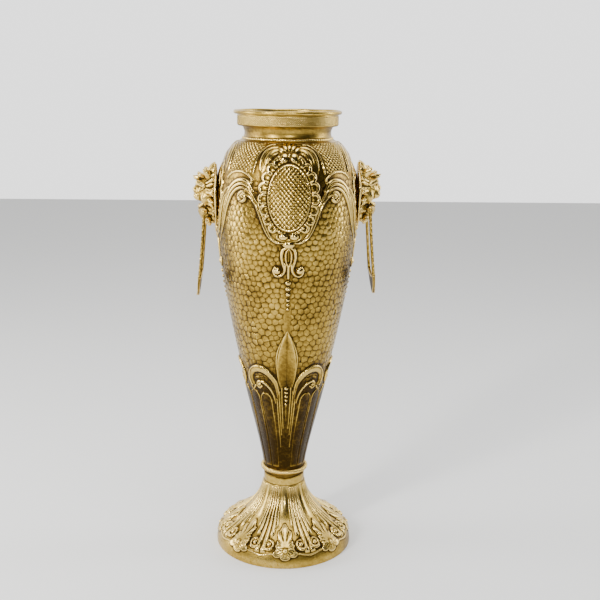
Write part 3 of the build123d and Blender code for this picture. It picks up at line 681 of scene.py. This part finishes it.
def make_collar():
    relief = Relief(collar_line(), COLLAR_COLUMNS)
    turn, up = np.radians(relief.deg)[None, :], relief.z[:, None] - LAND_Z
    net_low, net_high, net_count, net_high_step = 21.0, 33.2, 150, 2.8
    upright = (np.abs(relief.r - PUNCHED_R) < 0.25)[:, None]
    upright = upright * smooth(up, net_low, net_low + 0.8) * (1 - smooth(up, net_high - 0.8, net_high))
    across, climb = turn * net_count / (2 * math.pi), (up - net_low) / net_high_step
    gaps = [np.abs(place - np.round(place)) for place in (across + climb, across - climb)]
    hatch = 1 - smooth(np.minimum(*gaps), 0.08, 0.3)
    relief.h += upright * (0.6 * hatch - 0.3)
    relief.dark_shift += upright * (0.36 - 0.60 * hatch)
    bead_line = bell(up - 4.4, 0.9)
    relief.h += bead_line * (0.5 + 0.7 * (0.5 + 0.5 * np.cos(turn * 100)))
    # Painted highlight: the bead line is lighter in colour; above it the collar is darker up to the lip,
    # which is lighter again
    relief.dark_shift += 0.16 * smooth(up, 6, 10) - 0.35 * bead_line - 0.16 * smooth(up, 33, 36)
    wobble = 0.25 * np.sin(turn * 3 + 1) + 0.18 * np.sin(turn * 7)
    relief.h += wobble * smooth(up, 34, 37)
    first_roll = np.flatnonzero(up.ravel() >= 35.5)[0]
    inner = inner_line(relief.line, 3, first_roll)
    piece = wall("collar_relief", relief, inner[inner[:, 1] > LAND_Z + 0.3])
    finish_piece(piece, "vase", ["collar", "lip_wire"], brass("punched_collar", NECK_LOOK))


def make_band():
    """The plain band round the socket, its upper edge torn a little, mostly at the front."""
    lo, hi = corner("foot_band", 0), corner("foot_band", 1)
    columns, levels, width, low = 480, np.linspace(0, 1, 18), 1.55, lo[2] + 0.1
    angle = np.arange(columns) * 2 * math.pi / columns
    tear = sum(size * np.sin(count * angle + turn) for count, size, turn in
               ((5, 0.30, 0.4), (11, 0.26, 1.9), (23, 0.20, 0.7), (41, 0.12, 2.6)))
    front = bell((angle + math.pi) % (2 * math.pi) - math.pi, 0.45)
    top = hi[2] - 0.9 - 1.9 * front - np.abs(tear) * 1.3
    flat = np.zeros(columns)
    rows = [(hi[0] + 0.12 * np.sin(9 * level + 3 * angle), low + (top - low) * level) for level in levels]
    rows += [(flat + hi[0] - 0.7, top + 0.15), (flat + hi[0] - width, top - 0.2),
             (flat + hi[0] - width, flat + low)]
    r, z = np.moveaxis(np.array(rows), 1, 0)
    quads, uv = ring_faces(len(r), columns)
    dark = np.full(r.shape, 0.5)
    dark[14:18] = np.linspace(0.5, 0.75, 4)[:, None]     # towards the torn edge
    dark[:2] = 0.85                                      # in the joint under the band
    piece = write_mesh("torn_band", round_axis(r, angle, z), quads, {"wear": dark}, uv)
    finish_piece(piece, "vase", ["foot_band"], brass("band", ROPE_LOOK))


def make_rope():
    """Three strands twisted round the lower edge of the body."""
    lo, hi = corner("rope_ring", 0), corner("rope_ring", 1)
    strands, lays, steps, sides = 3, 18, 1200, 12
    strand_r, lay_r = 1.7, 1.7
    centre_z = (lo[2] + hi[2]) / 2 + ROPE_LIFT
    ring_r = hi[0] - strand_r - lay_r + 0.1
    t = np.arange(steps) * 2 * math.pi / steps
    around = np.arange(sides) * 2 * math.pi / sides
    out, up = np.stack([np.sin(t), -np.cos(t), 0 * t], 1), np.array([0, 0, 1.0])
    faces, _ = ring_faces(steps, sides)
    verts, quads = [], []
    for strand in range(strands):
        twist = (t * lays + strand * 2 * math.pi / strands)[:, None]
        middle = ring_r * out + lay_r * (np.cos(twist) * out + np.sin(twist) * up)
        middle[:, 2] += centre_z
        ahead = np.roll(middle, -1, 0) - np.roll(middle, 1, 0)
        ahead /= np.linalg.norm(ahead, axis=1)[:, None]
        side = np.cross(ahead, up)
        side /= np.linalg.norm(side, axis=1)[:, None]
        top = np.cross(side, ahead)
        skin_points = middle[:, None] + strand_r * (np.cos(around)[None, :, None] * side[:, None]
                                                    + np.sin(around)[None, :, None] * top[:, None])
        quads.append(faces + strand * steps * sides)
        verts.append(skin_points.reshape(-1, 3))
    verts = np.vstack(verts)
    depth = np.hypot(np.hypot(verts[:, 0], verts[:, 1]) - ring_r, verts[:, 2] - centre_z)
    dark = np.clip(1.15 - depth / (strand_r + lay_r) * 0.95, 0, 1)
    piece = write_mesh("rope_twist", verts, np.vstack(quads), {"wear": dark})
    finish_piece(piece, "vase", ["rope_ring"], brass("rope", ROPE_LOOK))


# ------------------------------------------------------------------ cast shapes from distance fields
def ball(p, centre, semi):
    """Approximate distance to an ellipsoid, negative inside."""
    q = (p - np.array(centre)) / np.array(semi)
    length = np.sqrt((q**2).sum(-1)) + 1e-9
    return (length - 1) * min(semi) * 0.55 + (length - 1) * max(semi) * 0.2


def tube(p, start, end, r_start, r_end):
    """Distance to a straight tapered bar."""
    a, b = np.array(start, float), np.array(end, float)
    t = np.clip(((p - a) @ (b - a)) / ((b - a) @ (b - a)), 0, 1)
    away = p - a - t[..., None] * (b - a)
    return np.sqrt((away**2).sum(-1)) - (r_start + (r_end - r_start) * t)


def chain(p, points, radii):
    """Distance to a bent tapered bar."""
    parts = [tube(p, a, b, ra, rb) for a, b, ra, rb in zip(points, points[1:], radii, radii[1:])]
    return np.minimum.reduce(parts)


def join(a, b, soft):
    """Union of two distances with a rounded inner corner."""
    blend = np.clip(0.5 + 0.5 * (b - a) / soft, 0, 1)
    return b + (a - b) * blend - soft * blend * (1 - blend)


def carve(a, b, soft):
    """The first shape without the second, with a rounded edge."""
    return -join(-a, b, soft)


def skin(distance, low, high, step):
    """Closed quad mesh of the zero surface of a distance function, by surface nets."""
    axes = [np.arange(a, b + step, step) for a, b in zip(low, high)]
    field = np.stack(np.meshgrid(*axes, indexing="ij"), -1).astype(np.float32)
    d = distance(field).astype(np.float64)
    d[d == 0] = 1e-6
    for axis in range(3):
        ends = [slice(None)] * 3
        for end in (0, -1):
            ends[axis] = end
            d[tuple(ends)] = np.maximum(d[tuple(ends)], 1e-3)
    solid = d < 0
    shape = np.array(d.shape) - 1
    total, crossings = np.zeros((*shape, 3)), np.zeros(shape)
    corners = [np.array(c) for c in np.ndindex(2, 2, 2)]

    def corner_view(values, c):
        return values[c[0]:c[0] + shape[0], c[1]:c[1] + shape[1], c[2]:c[2] + shape[2]]

    for axis in range(3):
        for c in corners:
            if c[axis]:
                continue
            other = c.copy()
            other[axis] = 1
            a, b = corner_view(d, c), corner_view(d, other)
            cut = (a < 0) != (b < 0)
            t = np.where(cut, a / np.where(cut, a - b, 1), 0)
            for k in range(3):
                total[..., k] += np.where(cut, c[k] + (t if k == axis else 0), 0)
            crossings += cut
    used = crossings > 0
    index = np.full(shape, -1)
    index[used] = np.arange(used.sum())
    verts = (np.argwhere(used) + total[used] / crossings[used][:, None]) * step + np.array(low)
    quads = []
    for axis in range(3):
        u, v = (axis + 1) % 3, (axis + 2) % 3
        a = np.take(solid, np.arange(shape[axis]), axis)
        b = np.take(solid, np.arange(1, shape[axis] + 1), axis)
        for flip, crossing in ((False, a & ~b), (True, ~a & b)):
            cell = np.argwhere(crossing)
            across = cell[:, [u, v]]
            cell = cell[((across > 0) & (across < shape[[u, v]])).all(1)]
            ring = []
            for du, dv in ((-1, -1), (0, -1), (0, 0), (-1, 0)):
                near = cell.copy()
                near[:, u] += du
                near[:, v] += dv
                ring.append(index[tuple(near.T)])
            ring = np.stack(ring, 1)
            quads.append(ring[:, ::-1] if flip else ring)
    quads = np.vstack(quads)
    return verts, quads[(quads >= 0).all(1)]


def relax(verts, quads, rounds):
    """Evens a mesh out by moving points towards the mean of their neighbours and part of the way back."""
    edges = np.vstack([quads[:, [0, 1]], quads[:, [1, 2]], quads[:, [2, 3]], quads[:, [3, 0]]])
    count = np.bincount(edges.ravel(), minlength=len(verts))[:, None]

    def mean(values):
        total = np.zeros_like(values)
        np.add.at(total, edges[:, 0], values[edges[:, 1]])
        np.add.at(total, edges[:, 1], values[edges[:, 0]])
        return total / np.maximum(count, 1)

    for _ in range(rounds):
        verts = verts + 0.5 * (mean(verts) - verts)
        verts = verts - 0.52 * (mean(verts) - verts)
    return verts, mean


def cast(name, verts, quads, sign, step, where, ground=0.5):
    """A cast piece, with wear read from how far each spot stands above its surroundings."""
    if sign < 0:
        quads = quads[:, ::-1]
    verts, mean = relax(verts, quads, 2)
    near = verts.copy()
    for _ in range(4):
        near = mean(near)
    corners = verts[quads]
    facing = np.cross(corners[:, 2] - corners[:, 0], corners[:, 3] - corners[:, 1])
    normal = np.zeros_like(verts)
    for k in range(4):
        np.add.at(normal, quads[:, k], facing)
    normal /= np.linalg.norm(normal, axis=1)[:, None] + 1e-9
    hollow = ((near - verts) * normal).sum(1) / step
    piece = write_mesh(name, verts, quads, {"wear": np.clip(ground + 2.6 * hollow, 0, 1)})
    body, node, slot, material = where
    finish_piece(piece, body, [node], material)


def model(p, shape, parts):
    """Works parts into a shape in turn: a ball for a single place, a bent bar for a list of places."""
    for work, places, sizes, soft in parts:
        part = chain(p, places, sizes) if isinstance(places, list) else ball(p, places, sizes)
        shape = work(shape, part, soft)
    return shape


# ------------------------------------------------------------------ masks and handles
PLATE_X = corner("right_mask_plate", 0)[0]           # flat back of the shield plates
PLATE_T = corner("right_mask_plate", 1)[0] - PLATE_X
PLATE_TOP, PLATE_LOW, PLATE_WIDE = 42.5, -49.0, (31.0, 8.0)
MUZZLE_RISE = 5.0                                    # muzzle above the middle of the mask
PIN_OUT, PIN_UP, PIN_FACE = 16.4, -24, 18.6          # hinge pin in the head: middle, and where its boss ends
PLATE_CELL, HEAD_CELL, BAIL_CELL = 0.6, 0.68, 0.55   # mesh sizes
BAIL_LEAN = math.radians(4.8)
BAR_MIDDLE, BAR_SPREAD, BAR_END = 21.4, 4.6, 90      # handle bars: at the eyes, extra at the leaf, length
LEAF_TOP, LEAF_END = 82, 118.4                       # solid foot of the handle, from the hinge
SIDES = (("right", 1), ("left", -1))


def mask_middle(side):
    return corner(f"{side}_mask_plate", 1)[2] - PLATE_TOP


def pivot(side):
    """How far out and how high the hinge pins of one handle are."""
    lo, hi = corner(f"{side}_pivot_pins", 0), corner(f"{side}_pivot_pins", 1)
    return abs(lo[0] + hi[0]) / 2, (lo[2] + hi[2]) / 2


def outline_distance(across, up, points):
    """Signed distance to a closed line in the (across, up) plane, negative inside."""
    best = np.full(across.shape, 1e9)
    inside = np.zeros(across.shape, bool)
    for (ax, az), (bx, bz) in zip(points, np.roll(points, -1, 0)):
        ex, ez = bx - ax, bz - az
        t = np.clip(((across - ax) * ex + (up - az) * ez) / (ex**2 + ez**2 + 1e-9), 0, 1)
        best = np.minimum(best, (across - ax - t * ex) ** 2 + (up - az - t * ez) ** 2)
        straddles = (az > up) != (bz > up)
        with np.errstate(divide="ignore", invalid="ignore"):
            inside ^= straddles & (across < ax + (up - az) * ex / (ez if ez else 1e-9))
    return np.where(inside, -1, 1) * np.sqrt(best)


def shield():
    """The outline of the plate: a point above and below, widest a little over the middle."""
    right = curve_through([(0, PLATE_TOP), (9, 36.5), (20, 27), (28, 17), PLATE_WIDE, (30, -6), (24.5, -21),
                           (14.5, -36), (5, -45.5), (0, PLATE_LOW)], 4)
    left = right[::-1][1:-1] * [-1, 1]
    return np.vstack([right, left])


def plate_shape(p):
    """Shield plate with a raised rim, a beaded line inside it and a slightly crowned field."""
    out, across, up = p[..., 0], p[..., 1], p[..., 2]
    edge = outline_distance(across[0], up[0], shield())[None]
    face = PLATE_T - 0.55 + bell(edge + 1.6, 1.1)
    turn = np.arctan2(across, up)
    face = face + 0.5 * bell(edge + 4.3, 0.7) * (0.6 + 0.4 * np.cos(46 * turn))
    return np.maximum(np.maximum(edge + 0.1, -out), out - face)


def mane(p):
    """Locks that lie round the head on the plate, each tapering to a curled tip."""
    locks = []
    for k in range(10):
        turn = math.radians(10 + 17.5 * k)
        s, c = math.sin(turn), math.cos(turn)
        reach = 0.86 / math.hypot(s / 29.5, c / (40.0 if k < 5 else 48.0))
        bend = 2.4 * (-1) ** k
        line = [(11, 13.5 * s, 16.5 * c)]
        for out, share, bent in ((9.5, 0.62, 0.5), (6.5, 0.84, 1), (4.4, 1, 0)):
            line.append((out, share * reach * s + bent * bend * c, share * reach * c - bent * bend * s))
        locks.append(chain(p, line, (4.6, 4.2, 3.0, 0.9)))
    return np.minimum.reduce(locks)


def head_shape(p):
    """Grotesque lion's head: hood, brow, muzzle, jaw and beard. Up is measured from the muzzle."""
    p = p.astype(float)
    p[..., 1] = np.abs(p[..., 1])
    out, across, up = p[..., 0], p[..., 1], p[..., 2]
    head = model(p, ball(p, (0, 0, 11), (15.5, 21.5, 29)), (
        (join, (8, 0, 3), (17, 17.5, 19), 4),
        (join, (18, 0, 11), (10, 13, 6.5), 3),
        (join, (5, 0, -20), (13.5, 18.0, 22), 4)))
    head = join(head, mane(p), 1.4)
    radius = np.hypot(across, up - 4)
    furrow = np.sin(26 * np.arctan2(across, up - 4) + 0.16 * radius)
    head = head + 0.42 * furrow * smooth(radius, 14, 20) * (1 - smooth(out, 11, 17))
    head = model(p, head, (
        # brow, forelock and ears
        (join, [(24.5, 0.5, 9.5), (24.5, 7.5, 12.5), (17, 14.5, 9.0)], (3.6, 3.9, 2.6), 1.6),
        (join, [(15, 0, 17), (23, 0, 18.6), (28, 0, 18.8), (31.6, 0, 21.2)], (6.0, 4.6, 3.0, 0.7), 2.2),
        (join, [(17, 3, 20), (22, 6.2, 22), (25.4, 8.2, 25.6)], (3.8, 3.0, 0.8), 1.2),
        (join, [(9, 12, 21), (13, 14.5, 26), (15.2, 15.6, 28.6)], (5.4, 4.8, 3.5), 1.2),
        (carve, (17.2, 14.8, 26.4), (3.0, 2.4, 3.4), 0.7),
        # eyes in their sockets, with lids
        (carve, (24, 9.6, 5.6), (5.2, 4.6, 3.7), 1.0),
        (join, (19.6, 9.2, 5.8), (3.7, 3.6, 3.2), 0.4),
        (carve, (23.6, 9.8, 5.6), (0.9, 0.9, 0.9), 0.3),
        (join, [(22.4, 5.0, 5.0), (23.0, 9.4, 8.8), (17.6, 14.2, 5.6)], (0.9, 1.15, 0.9), 0.5),
        (join, [(22.4, 5.0, 5.0), (22.6, 9.6, 2.6), (17.6, 14.2, 5.2)], (0.8, 0.95, 0.8), 0.5),
        # muzzle, nose and nostrils
        (join, (18.6, 0, -1.5), (12.4, 11.2, 11.8), 3),
        (join, (24.5, 5.0, -5.0), (6.6, 6.0, 6.2), 1.0),
        (join, [(24, 0, 9), (28.6, 0, 3.2)], (3.0, 4.0), 1.6),
        (join, (28.6, 3.0, 1.8), (2.9, 2.4, 2.5), 0.8),
        (carve, (31.0, 3.0, 0.4), (1.9, 1.2, 1.1), 0.4)))
    whiskers = np.sin(2.1 * (up + 0.5 * across)) * bell(np.hypot(across - 6.5, up + 4.5), 4)
    head = head + 0.30 * whiskers * smooth(out, 22, 26)
    head = model(p, head, (
        # cheeks
        (join, (13.5, 12.6, -7), (8.0, 6.0, 9.0), 2.0),
        (join, [(21, 9.2, 0.5), (17.5, 12.8, -7), (15, 13.2, -16)], (2.0, 2.2, 1.6), 0.9),
        # jaw with an open mouth, tongue, lower teeth and lip
        (join, (12, 0, -25), (13.0, 13.0, 13.5), 2.4),
        (carve, (25.5, 0, -15.2), (7.4, 6.8, 2.2), 0.8),
        (join, (18.5, 0, -16.8), (5.5, 4.0, 1.5), 0.5),
        (join, [(24.175, 1.7, -20), (24.375, 1.7, -16.4)], (1.25, 0.55), 0.4),
        (join, [(23.45, 4.6, -20), (23.65, 4.6, -16.4)], (1.25, 0.55), 0.4),
        (join, [(24.4, 0, -20), (22.4, 6.0, -18.6), (17.6, 10.0, -14.6)], (2.0, 1.8, 1.4), 0.8),
        # beard
        (join, [(20.5, 0, -25), (17.0, 0, -35), (11.0, 0, -45)], (5.0, 4.2, 1.4), 1.4),
        (join, [(18.0, 4.6, -24), (14.6, 6.2, -34), (8.6, 7.2, -44)], (3.8, 3.2, 1.1), 0.9),
        (join, [(14.0, 8.6, -22), (10.6, 10.8, -31), (5.2, 12.4, -40)], (3.6, 3.0, 1.1), 0.9),
        # boss for the hinge pin and the jowl under it
        (join, [(PIN_OUT, 6, PIN_UP), (PIN_OUT, 17.2, PIN_UP)], (5.6, 3.9), 1.2),
        (join, (11.0, 15.5, -36), (3.6, 8.2, 4.6), 1.0)))
    clear = np.maximum(PIN_FACE - across, np.hypot(out - PIN_OUT, up - PIN_UP) - 4.6)
    return np.maximum(np.maximum(head, -clear), 1.9 - out)


def bail_half_width(along):
    """Half width of the solid foot of the handle at a distance from the hinge."""
    t = np.clip((along - LEAF_TOP) / (LEAF_END - LEAF_TOP), 0, 1)
    return 28.3 * (1 - t**2.1) ** 0.82 + 0.2


def bail_shape(p):
    """Drop handle: beaded bars, eyes at the top and a hollowed leaf with a rib at the bottom."""
    p = p.copy()
    bow = 1.1 * 4 * (p[..., 2] / 119.0) * (1 - p[..., 2] / 119.0)
    p[..., 0] = p[..., 0] + np.where(p[..., 2] > 8, bow, bow * np.clip(p[..., 2] / 8, 0, 1))
    p[..., 1] = np.abs(p[..., 1])
    out, across, along = p[..., 0], p[..., 1], p[..., 2]
    middle = BAR_MIDDLE + BAR_SPREAD * np.clip(along, 0, BAR_END) / 86.0
    bar = np.hypot((across - middle) / 1.15, out) - 2.08
    bar = np.maximum(bar, np.maximum(-along, along - BAR_END))
    eye = np.maximum(np.hypot(out, along) - 4.1, np.abs(across - BAR_MIDDLE) - 2.35)
    body = join(bar, eye, 1.2)
    for k in range(11):
        at = 9.0 + 7.7 * k
        side = BAR_MIDDLE + BAR_SPREAD * min(at, 88) / 86.0
        body = model(p, body, ((join, (0.9, side + 1.7, at), (1.35, 1.2, 1.5), 0.5),
                               (join, (1.2, side, at + 3.8), (1.1, 1.5, 0.8), 0.4)))
    wide = bail_half_width(along)
    window = along - (93.0 - 7.0 * np.clip(across / 25.5, 0, 1) ** 2.2)
    edge = np.maximum(np.maximum((across - wide) * 0.8, -window), LEAF_TOP - along)
    edge = np.maximum(edge, along - LEAF_END)
    hollow = 0.9 * smooth(-edge, 1.6, 5.0)
    rib = bell(across, 1.3) * smooth(along, 95, 99)
    veins = 0.28 * np.sin(1.25 * (along - 0.75 * across)) * smooth(-edge, 2.2, 4.5)
    leaf_face = np.maximum(out - (2.0 - hollow + rib + veins), -out - (1.5 - 0.3 * hollow))
    body = join(body, np.maximum(edge, leaf_face), 0.9)
    return np.maximum(body, -(np.hypot(out, along) - 1.75))


def make_masks():
    """Plate, head and handle, each modelled once and set on both sides."""
    material = brass("cast_mask", CAST_LOOK)
    plate_material = brass("punched_plate", PLATE_LOOK)
    handle_material = brass("cast_handle", HANDLE_LOOK)
    plate = skin(plate_shape, (-0.7, -32, -50), (PLATE_T + 1.2, 32, 43.5), PLATE_CELL)
    head = skin(head_shape, (1.2, -29.6, -53), (34, 29.6, 45), HEAD_CELL)
    bail_verts, bail_quads = skin(bail_shape, (-4.9, -30.5, -5), (5, 30.5, 120), BAIL_CELL)
    out, across, along = bail_verts.T
    for side, sign in SIDES:
        for name, (verts, quads), rise, cell, where in (
                ("shield", plate, 0.0, PLATE_CELL, ("mask_plate", "plate_brass", plate_material)),
                ("lion", head, MUZZLE_RISE, HEAD_CELL, ("mask_head", "mask_brass", material))):
            placed = (verts + [PLATE_X, 0, mask_middle(side) + rise]) * [sign, 1, 1]
            cast(f"{side}_{name}", placed, quads, sign, cell, ("vase", f"{side}_{where[0]}", *where[1:]))
        pin_x, pin_z = pivot(side)
        x = pin_x + along * math.sin(BAIL_LEAN) + out * math.cos(BAIL_LEAN)
        z = pin_z - along * math.cos(BAIL_LEAN) + out * math.sin(BAIL_LEAN)
        cast(f"{side}_bail", np.stack([sign * x, across, z], -1), bail_quads, -sign, BAIL_CELL,
             (f"{side}_handle", f"{side}_handle", "handle_brass", handle_material), 0.72)


# ------------------------------------------------------------------ materials
BRIGHT, MIDDLE = (0.78, 0.56, 0.17), (0.44, 0.290, 0.052)
DARK, PIT = (0.150, 0.088, 0.014), (0.030, 0.017, 0.004)
BODY_LOOK = dict(rough=(0.14, 0.36), grain=0.10, stipple=0.55, dark_shift=0.35)
FOOT_LOOK = dict(rough=(0.20, 0.44), grain=0.16, stipple=0.0, dark_shift=0.45)
NECK_LOOK = dict(rough=(0.20, 0.42), grain=0.14, stipple=0.0, dark_shift=0.40, ground=0.12)
ROPE_LOOK = dict(rough=(0.20, 0.50), grain=0.08, stipple=0.0, dark_shift=0.30)
CAST_LOOK = dict(rough=(0.26, 0.55), grain=0.22, stipple=0.0, dark_shift=0.65)
PLATE_LOOK = dict(rough=(0.26, 0.55), grain=0.12, stipple=0.55, dark_shift=0.55)
HANDLE_LOOK = dict(rough=(0.28, 0.58), grain=0.18, stipple=0.0, dark_shift=0.60, ground=0.22)
PLAIN_LOOK = dict(rough=(0.24, 0.42), grain=0.08, stipple=0.0, dark_shift=0.45, ground=0.5)


class Paint:
    """A new material, with short ways to add nodes to it."""

    def __init__(self, name, metallic):
        self.material = bpy.data.materials.new(name)
        self.material.use_nodes = True
        self.nodes, self.links = self.material.node_tree.nodes, self.material.node_tree.links
        self.shader = self.nodes["Principled BSDF"]
        self.feed(self.shader, {"Metallic": metallic})
        self.place = self.nodes.new("ShaderNodeTexCoord").outputs["Object"]

    def feed(self, node, inputs):
        """Sets or links each named input."""
        for key, value in inputs.items():
            if isinstance(value, bpy.types.NodeSocket):
                self.links.new(value, node.inputs[key])
            else:
                node.inputs[key].default_value = value

    def node(self, kind, inputs):
        made = self.nodes.new(f"ShaderNode{kind}")
        self.feed(made, inputs)
        return made

    def noise(self, scale, **more):
        return self.node("TexNoise", {"Vector": self.place, "Scale": scale, **more}).outputs["Fac"]

    def attribute(self, name):
        made = self.nodes.new("ShaderNodeAttribute")
        made.attribute_name = name
        return made.outputs["Fac"]

    def sum_or_product(self, operation, first, second):
        made = self.nodes.new("ShaderNodeMath")
        made.operation = operation
        self.feed(made, {0: first, 1: second})
        return made.outputs[0]

    def spread(self, value, low, high, to_low, to_high):
        return self.node("MapRange", {"Value": value, "From Min": low, "From Max": high,
                                      "To Min": to_low, "To Max": to_high}).outputs["Result"]

    def ramp(self, value, stops):
        """A colour for each value, from rows of position and colour."""
        made = self.node("ValToRGB", {"Fac": value})
        elements = made.color_ramp.elements
        elements[0].position, elements[1].position = stops[0][0], stops[-1][0]
        elements[0].color, elements[1].color = (*stops[0][1], 1), (*stops[-1][1], 1)
        for position, colour in stops[1:-1]:
            elements.new(position).color = (*colour, 1)
        return made.outputs["Color"]

    def bump(self, height, strength, distance, **more):
        inputs = {"Height": height, "Strength": strength, "Distance": distance, **more}
        return self.node("Bump", inputs).outputs["Normal"]


def brass(name, look):
    """Brass that is bright on high spots and brown to black in the recesses, from the wear attribute."""
    paint = Paint(name, 1.0)
    cloud = paint.noise(14.0, Detail=5.0, Roughness=0.6)
    speckle = paint.noise(260.0, Detail=4.0, Roughness=0.65)
    grain = paint.noise(1500.0, Detail=3.0, Roughness=0.6)
    blotch = paint.spread(cloud, 0.35, 0.68, -0.16, 0.16)
    dark = paint.attribute("wear")
    for layer in (paint.sum_or_product("MULTIPLY", blotch, look["dark_shift"] * 2),
                  paint.spread(speckle, 0.3, 0.7, -0.11, 0.11), look.get("ground", 0.0)):
        dark = paint.sum_or_product("ADD", dark, layer)
    colour = paint.ramp(dark, ((0.12, BRIGHT), (0.48, MIDDLE), (0.76, DARK), (0.98, PIT)))
    normal = paint.bump(grain, look["grain"], 0.0004)
    if look["stipple"]:
        pits = paint.node("TexVoronoi", {"Vector": paint.place, "Scale": 620.0}).outputs["Distance"]
        strength = paint.sum_or_product("MULTIPLY", paint.attribute("stipple"), look["stipple"])
        normal = paint.bump(pits, strength, 0.0006, Normal=normal)
    paint.feed(paint.shader, {"Base Color": colour, "Roughness": paint.spread(dark, 0.2, 0.9, *look["rough"]),
                              "Normal": normal})
    return paint.material


def turned(name, metallic, colour, rough):
    """A hidden part's metal or rubber, with fine machining or moulding noise in its roughness and height."""
    paint = Paint(name, metallic)
    noise = paint.noise(420.0)
    shade = tuple(0.7 * c for c in colour)
    paint.feed(paint.shader, {"Base Color": paint.ramp(noise, ((0.0, shade), (1.0, colour))),
                              "Roughness": paint.spread(noise, 0.0, 1.0, rough - 0.08, rough + 0.12),
                              "Normal": paint.bump(noise, 0.08, 0.0003)})
    return paint.material


# ------------------------------------------------------------------ stage
def make_stage():
    half = 4.0
    mesh = bpy.data.meshes.new("floor")
    corners = [(-half, -half, 0), (half, -half, 0), (half, half, 0), (-half, half, 0)]
    mesh.from_pydata(corners, [], [(0, 1, 2, 3)])
    floor = bpy.data.objects.new("floor", mesh)
    bpy.context.scene.collection.objects.link(floor)
    material = bpy.data.materials.new("pale_floor")
    material.use_nodes = True
    shader = material.node_tree.nodes["Principled BSDF"]
    shader.inputs["Base Color"].default_value = (0.80, 0.80, 0.79, 1)
    shader.inputs["Roughness"].default_value = 0.85
    mesh.materials.append(material)


def area_light(name, place, aim, size, power, colour=(1, 1, 1)):
    data = bpy.data.lights.new(name, "AREA")
    data.shape, data.size, data.size_y = "RECTANGLE", size[0], size[1]
    data.energy, data.color = power, colour
    light = bpy.data.objects.new(name, data)
    light.location = place
    light.rotation_euler = (Vector(aim) - Vector(place)).to_track_quat("-Z", "Y").to_euler()
    bpy.context.scene.collection.objects.link(light)


def make_lights():
    middle = (0, 0, 0.35)
    area_light("key", (-1.35, -1.45, 1.25), middle, (0.20, 1.1), 44, (1.0, 0.98, 0.94))
    area_light("front", (0.1, -2.3, 1.25), middle, (0.16, 0.16), 19)
    area_light("left", (-1.7, 0.05, 0.75), middle, (0.6, 1.3), 24)
    area_light("right", (1.7, 0.25, 0.8), middle, (0.35, 1.2), 13, (0.96, 0.98, 1.0))
    area_light("top", (0.05, -0.5, 2.25), middle, (1.3, 0.8), 22)
    world = bpy.data.worlds.new("studio")
    bpy.context.scene.world = world
    world.use_nodes = True
    nodes, links = world.node_tree.nodes, world.node_tree.links
    background = nodes["Background"]
    background.inputs["Strength"].default_value = 1.0
    direction = nodes.new("ShaderNodeSeparateXYZ")
    links.new(nodes.new("ShaderNodeTexCoord").outputs["Generated"], direction.inputs[0])
    room = nodes.new("ShaderNodeMapRange")
    links.new(direction.outputs["Y"], room.inputs["Value"])
    for key, number in (("From Min", -0.25), ("From Max", 0.50), ("To Min", 0.025), ("To Max", 2.1)):
        room.inputs[key].default_value = number
    links.new(room.outputs["Result"], background.inputs["Color"])


def make_camera():
    """Looks 13 degrees down on the vase, from a little left of its front."""
    distance, height, side, pitch = 1.2432, 0.6427, math.radians(1.75), math.radians(13.09)
    data = bpy.data.cameras.new("camera")
    data.sensor_width, data.lens, data.shift_x = 36.0, 55.65, 0.0195
    camera = bpy.data.objects.new("camera", data)
    camera.location = (-distance * math.sin(side), -distance * math.cos(side), height)
    camera.rotation_euler = (math.radians(90) - pitch, math.radians(-0.65), -side)
    bpy.context.scene.collection.objects.link(camera)
    bpy.context.scene.camera = camera


make_body()
make_foot()
make_collar()
make_rope()
make_band()
make_masks()
make_stage()
make_lights()
make_camera()
plain = brass("plain_brass", PLAIN_LOOK)
dark_brass = brass("unlit_brass", dict(PLAIN_LOOK, ground=0.95))
steel = turned("plated_steel", 1.0, (0.44, 0.44, 0.43), 0.32)
rubber = turned("black_rubber", 0.0, (0.022, 0.022, 0.022), 0.7)
hidden = {"floor_seal": rubber}
hidden.update({name: dark_brass for name in ("stem_socket", "body_floor", "foot_bridge")})
hidden.update({name: steel for name in ("tie_rod", "floor_washer", "floor_nut", "foot_washer", "foot_nut")})
hidden.update({f"{side}_mask_{kind}": steel for side, _ in SIDES for kind in ("washers", "nuts", "studs")})
for name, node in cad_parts.items():
    node.data.materials.clear()
    node.data.materials.append(hidden.get(name, plain))
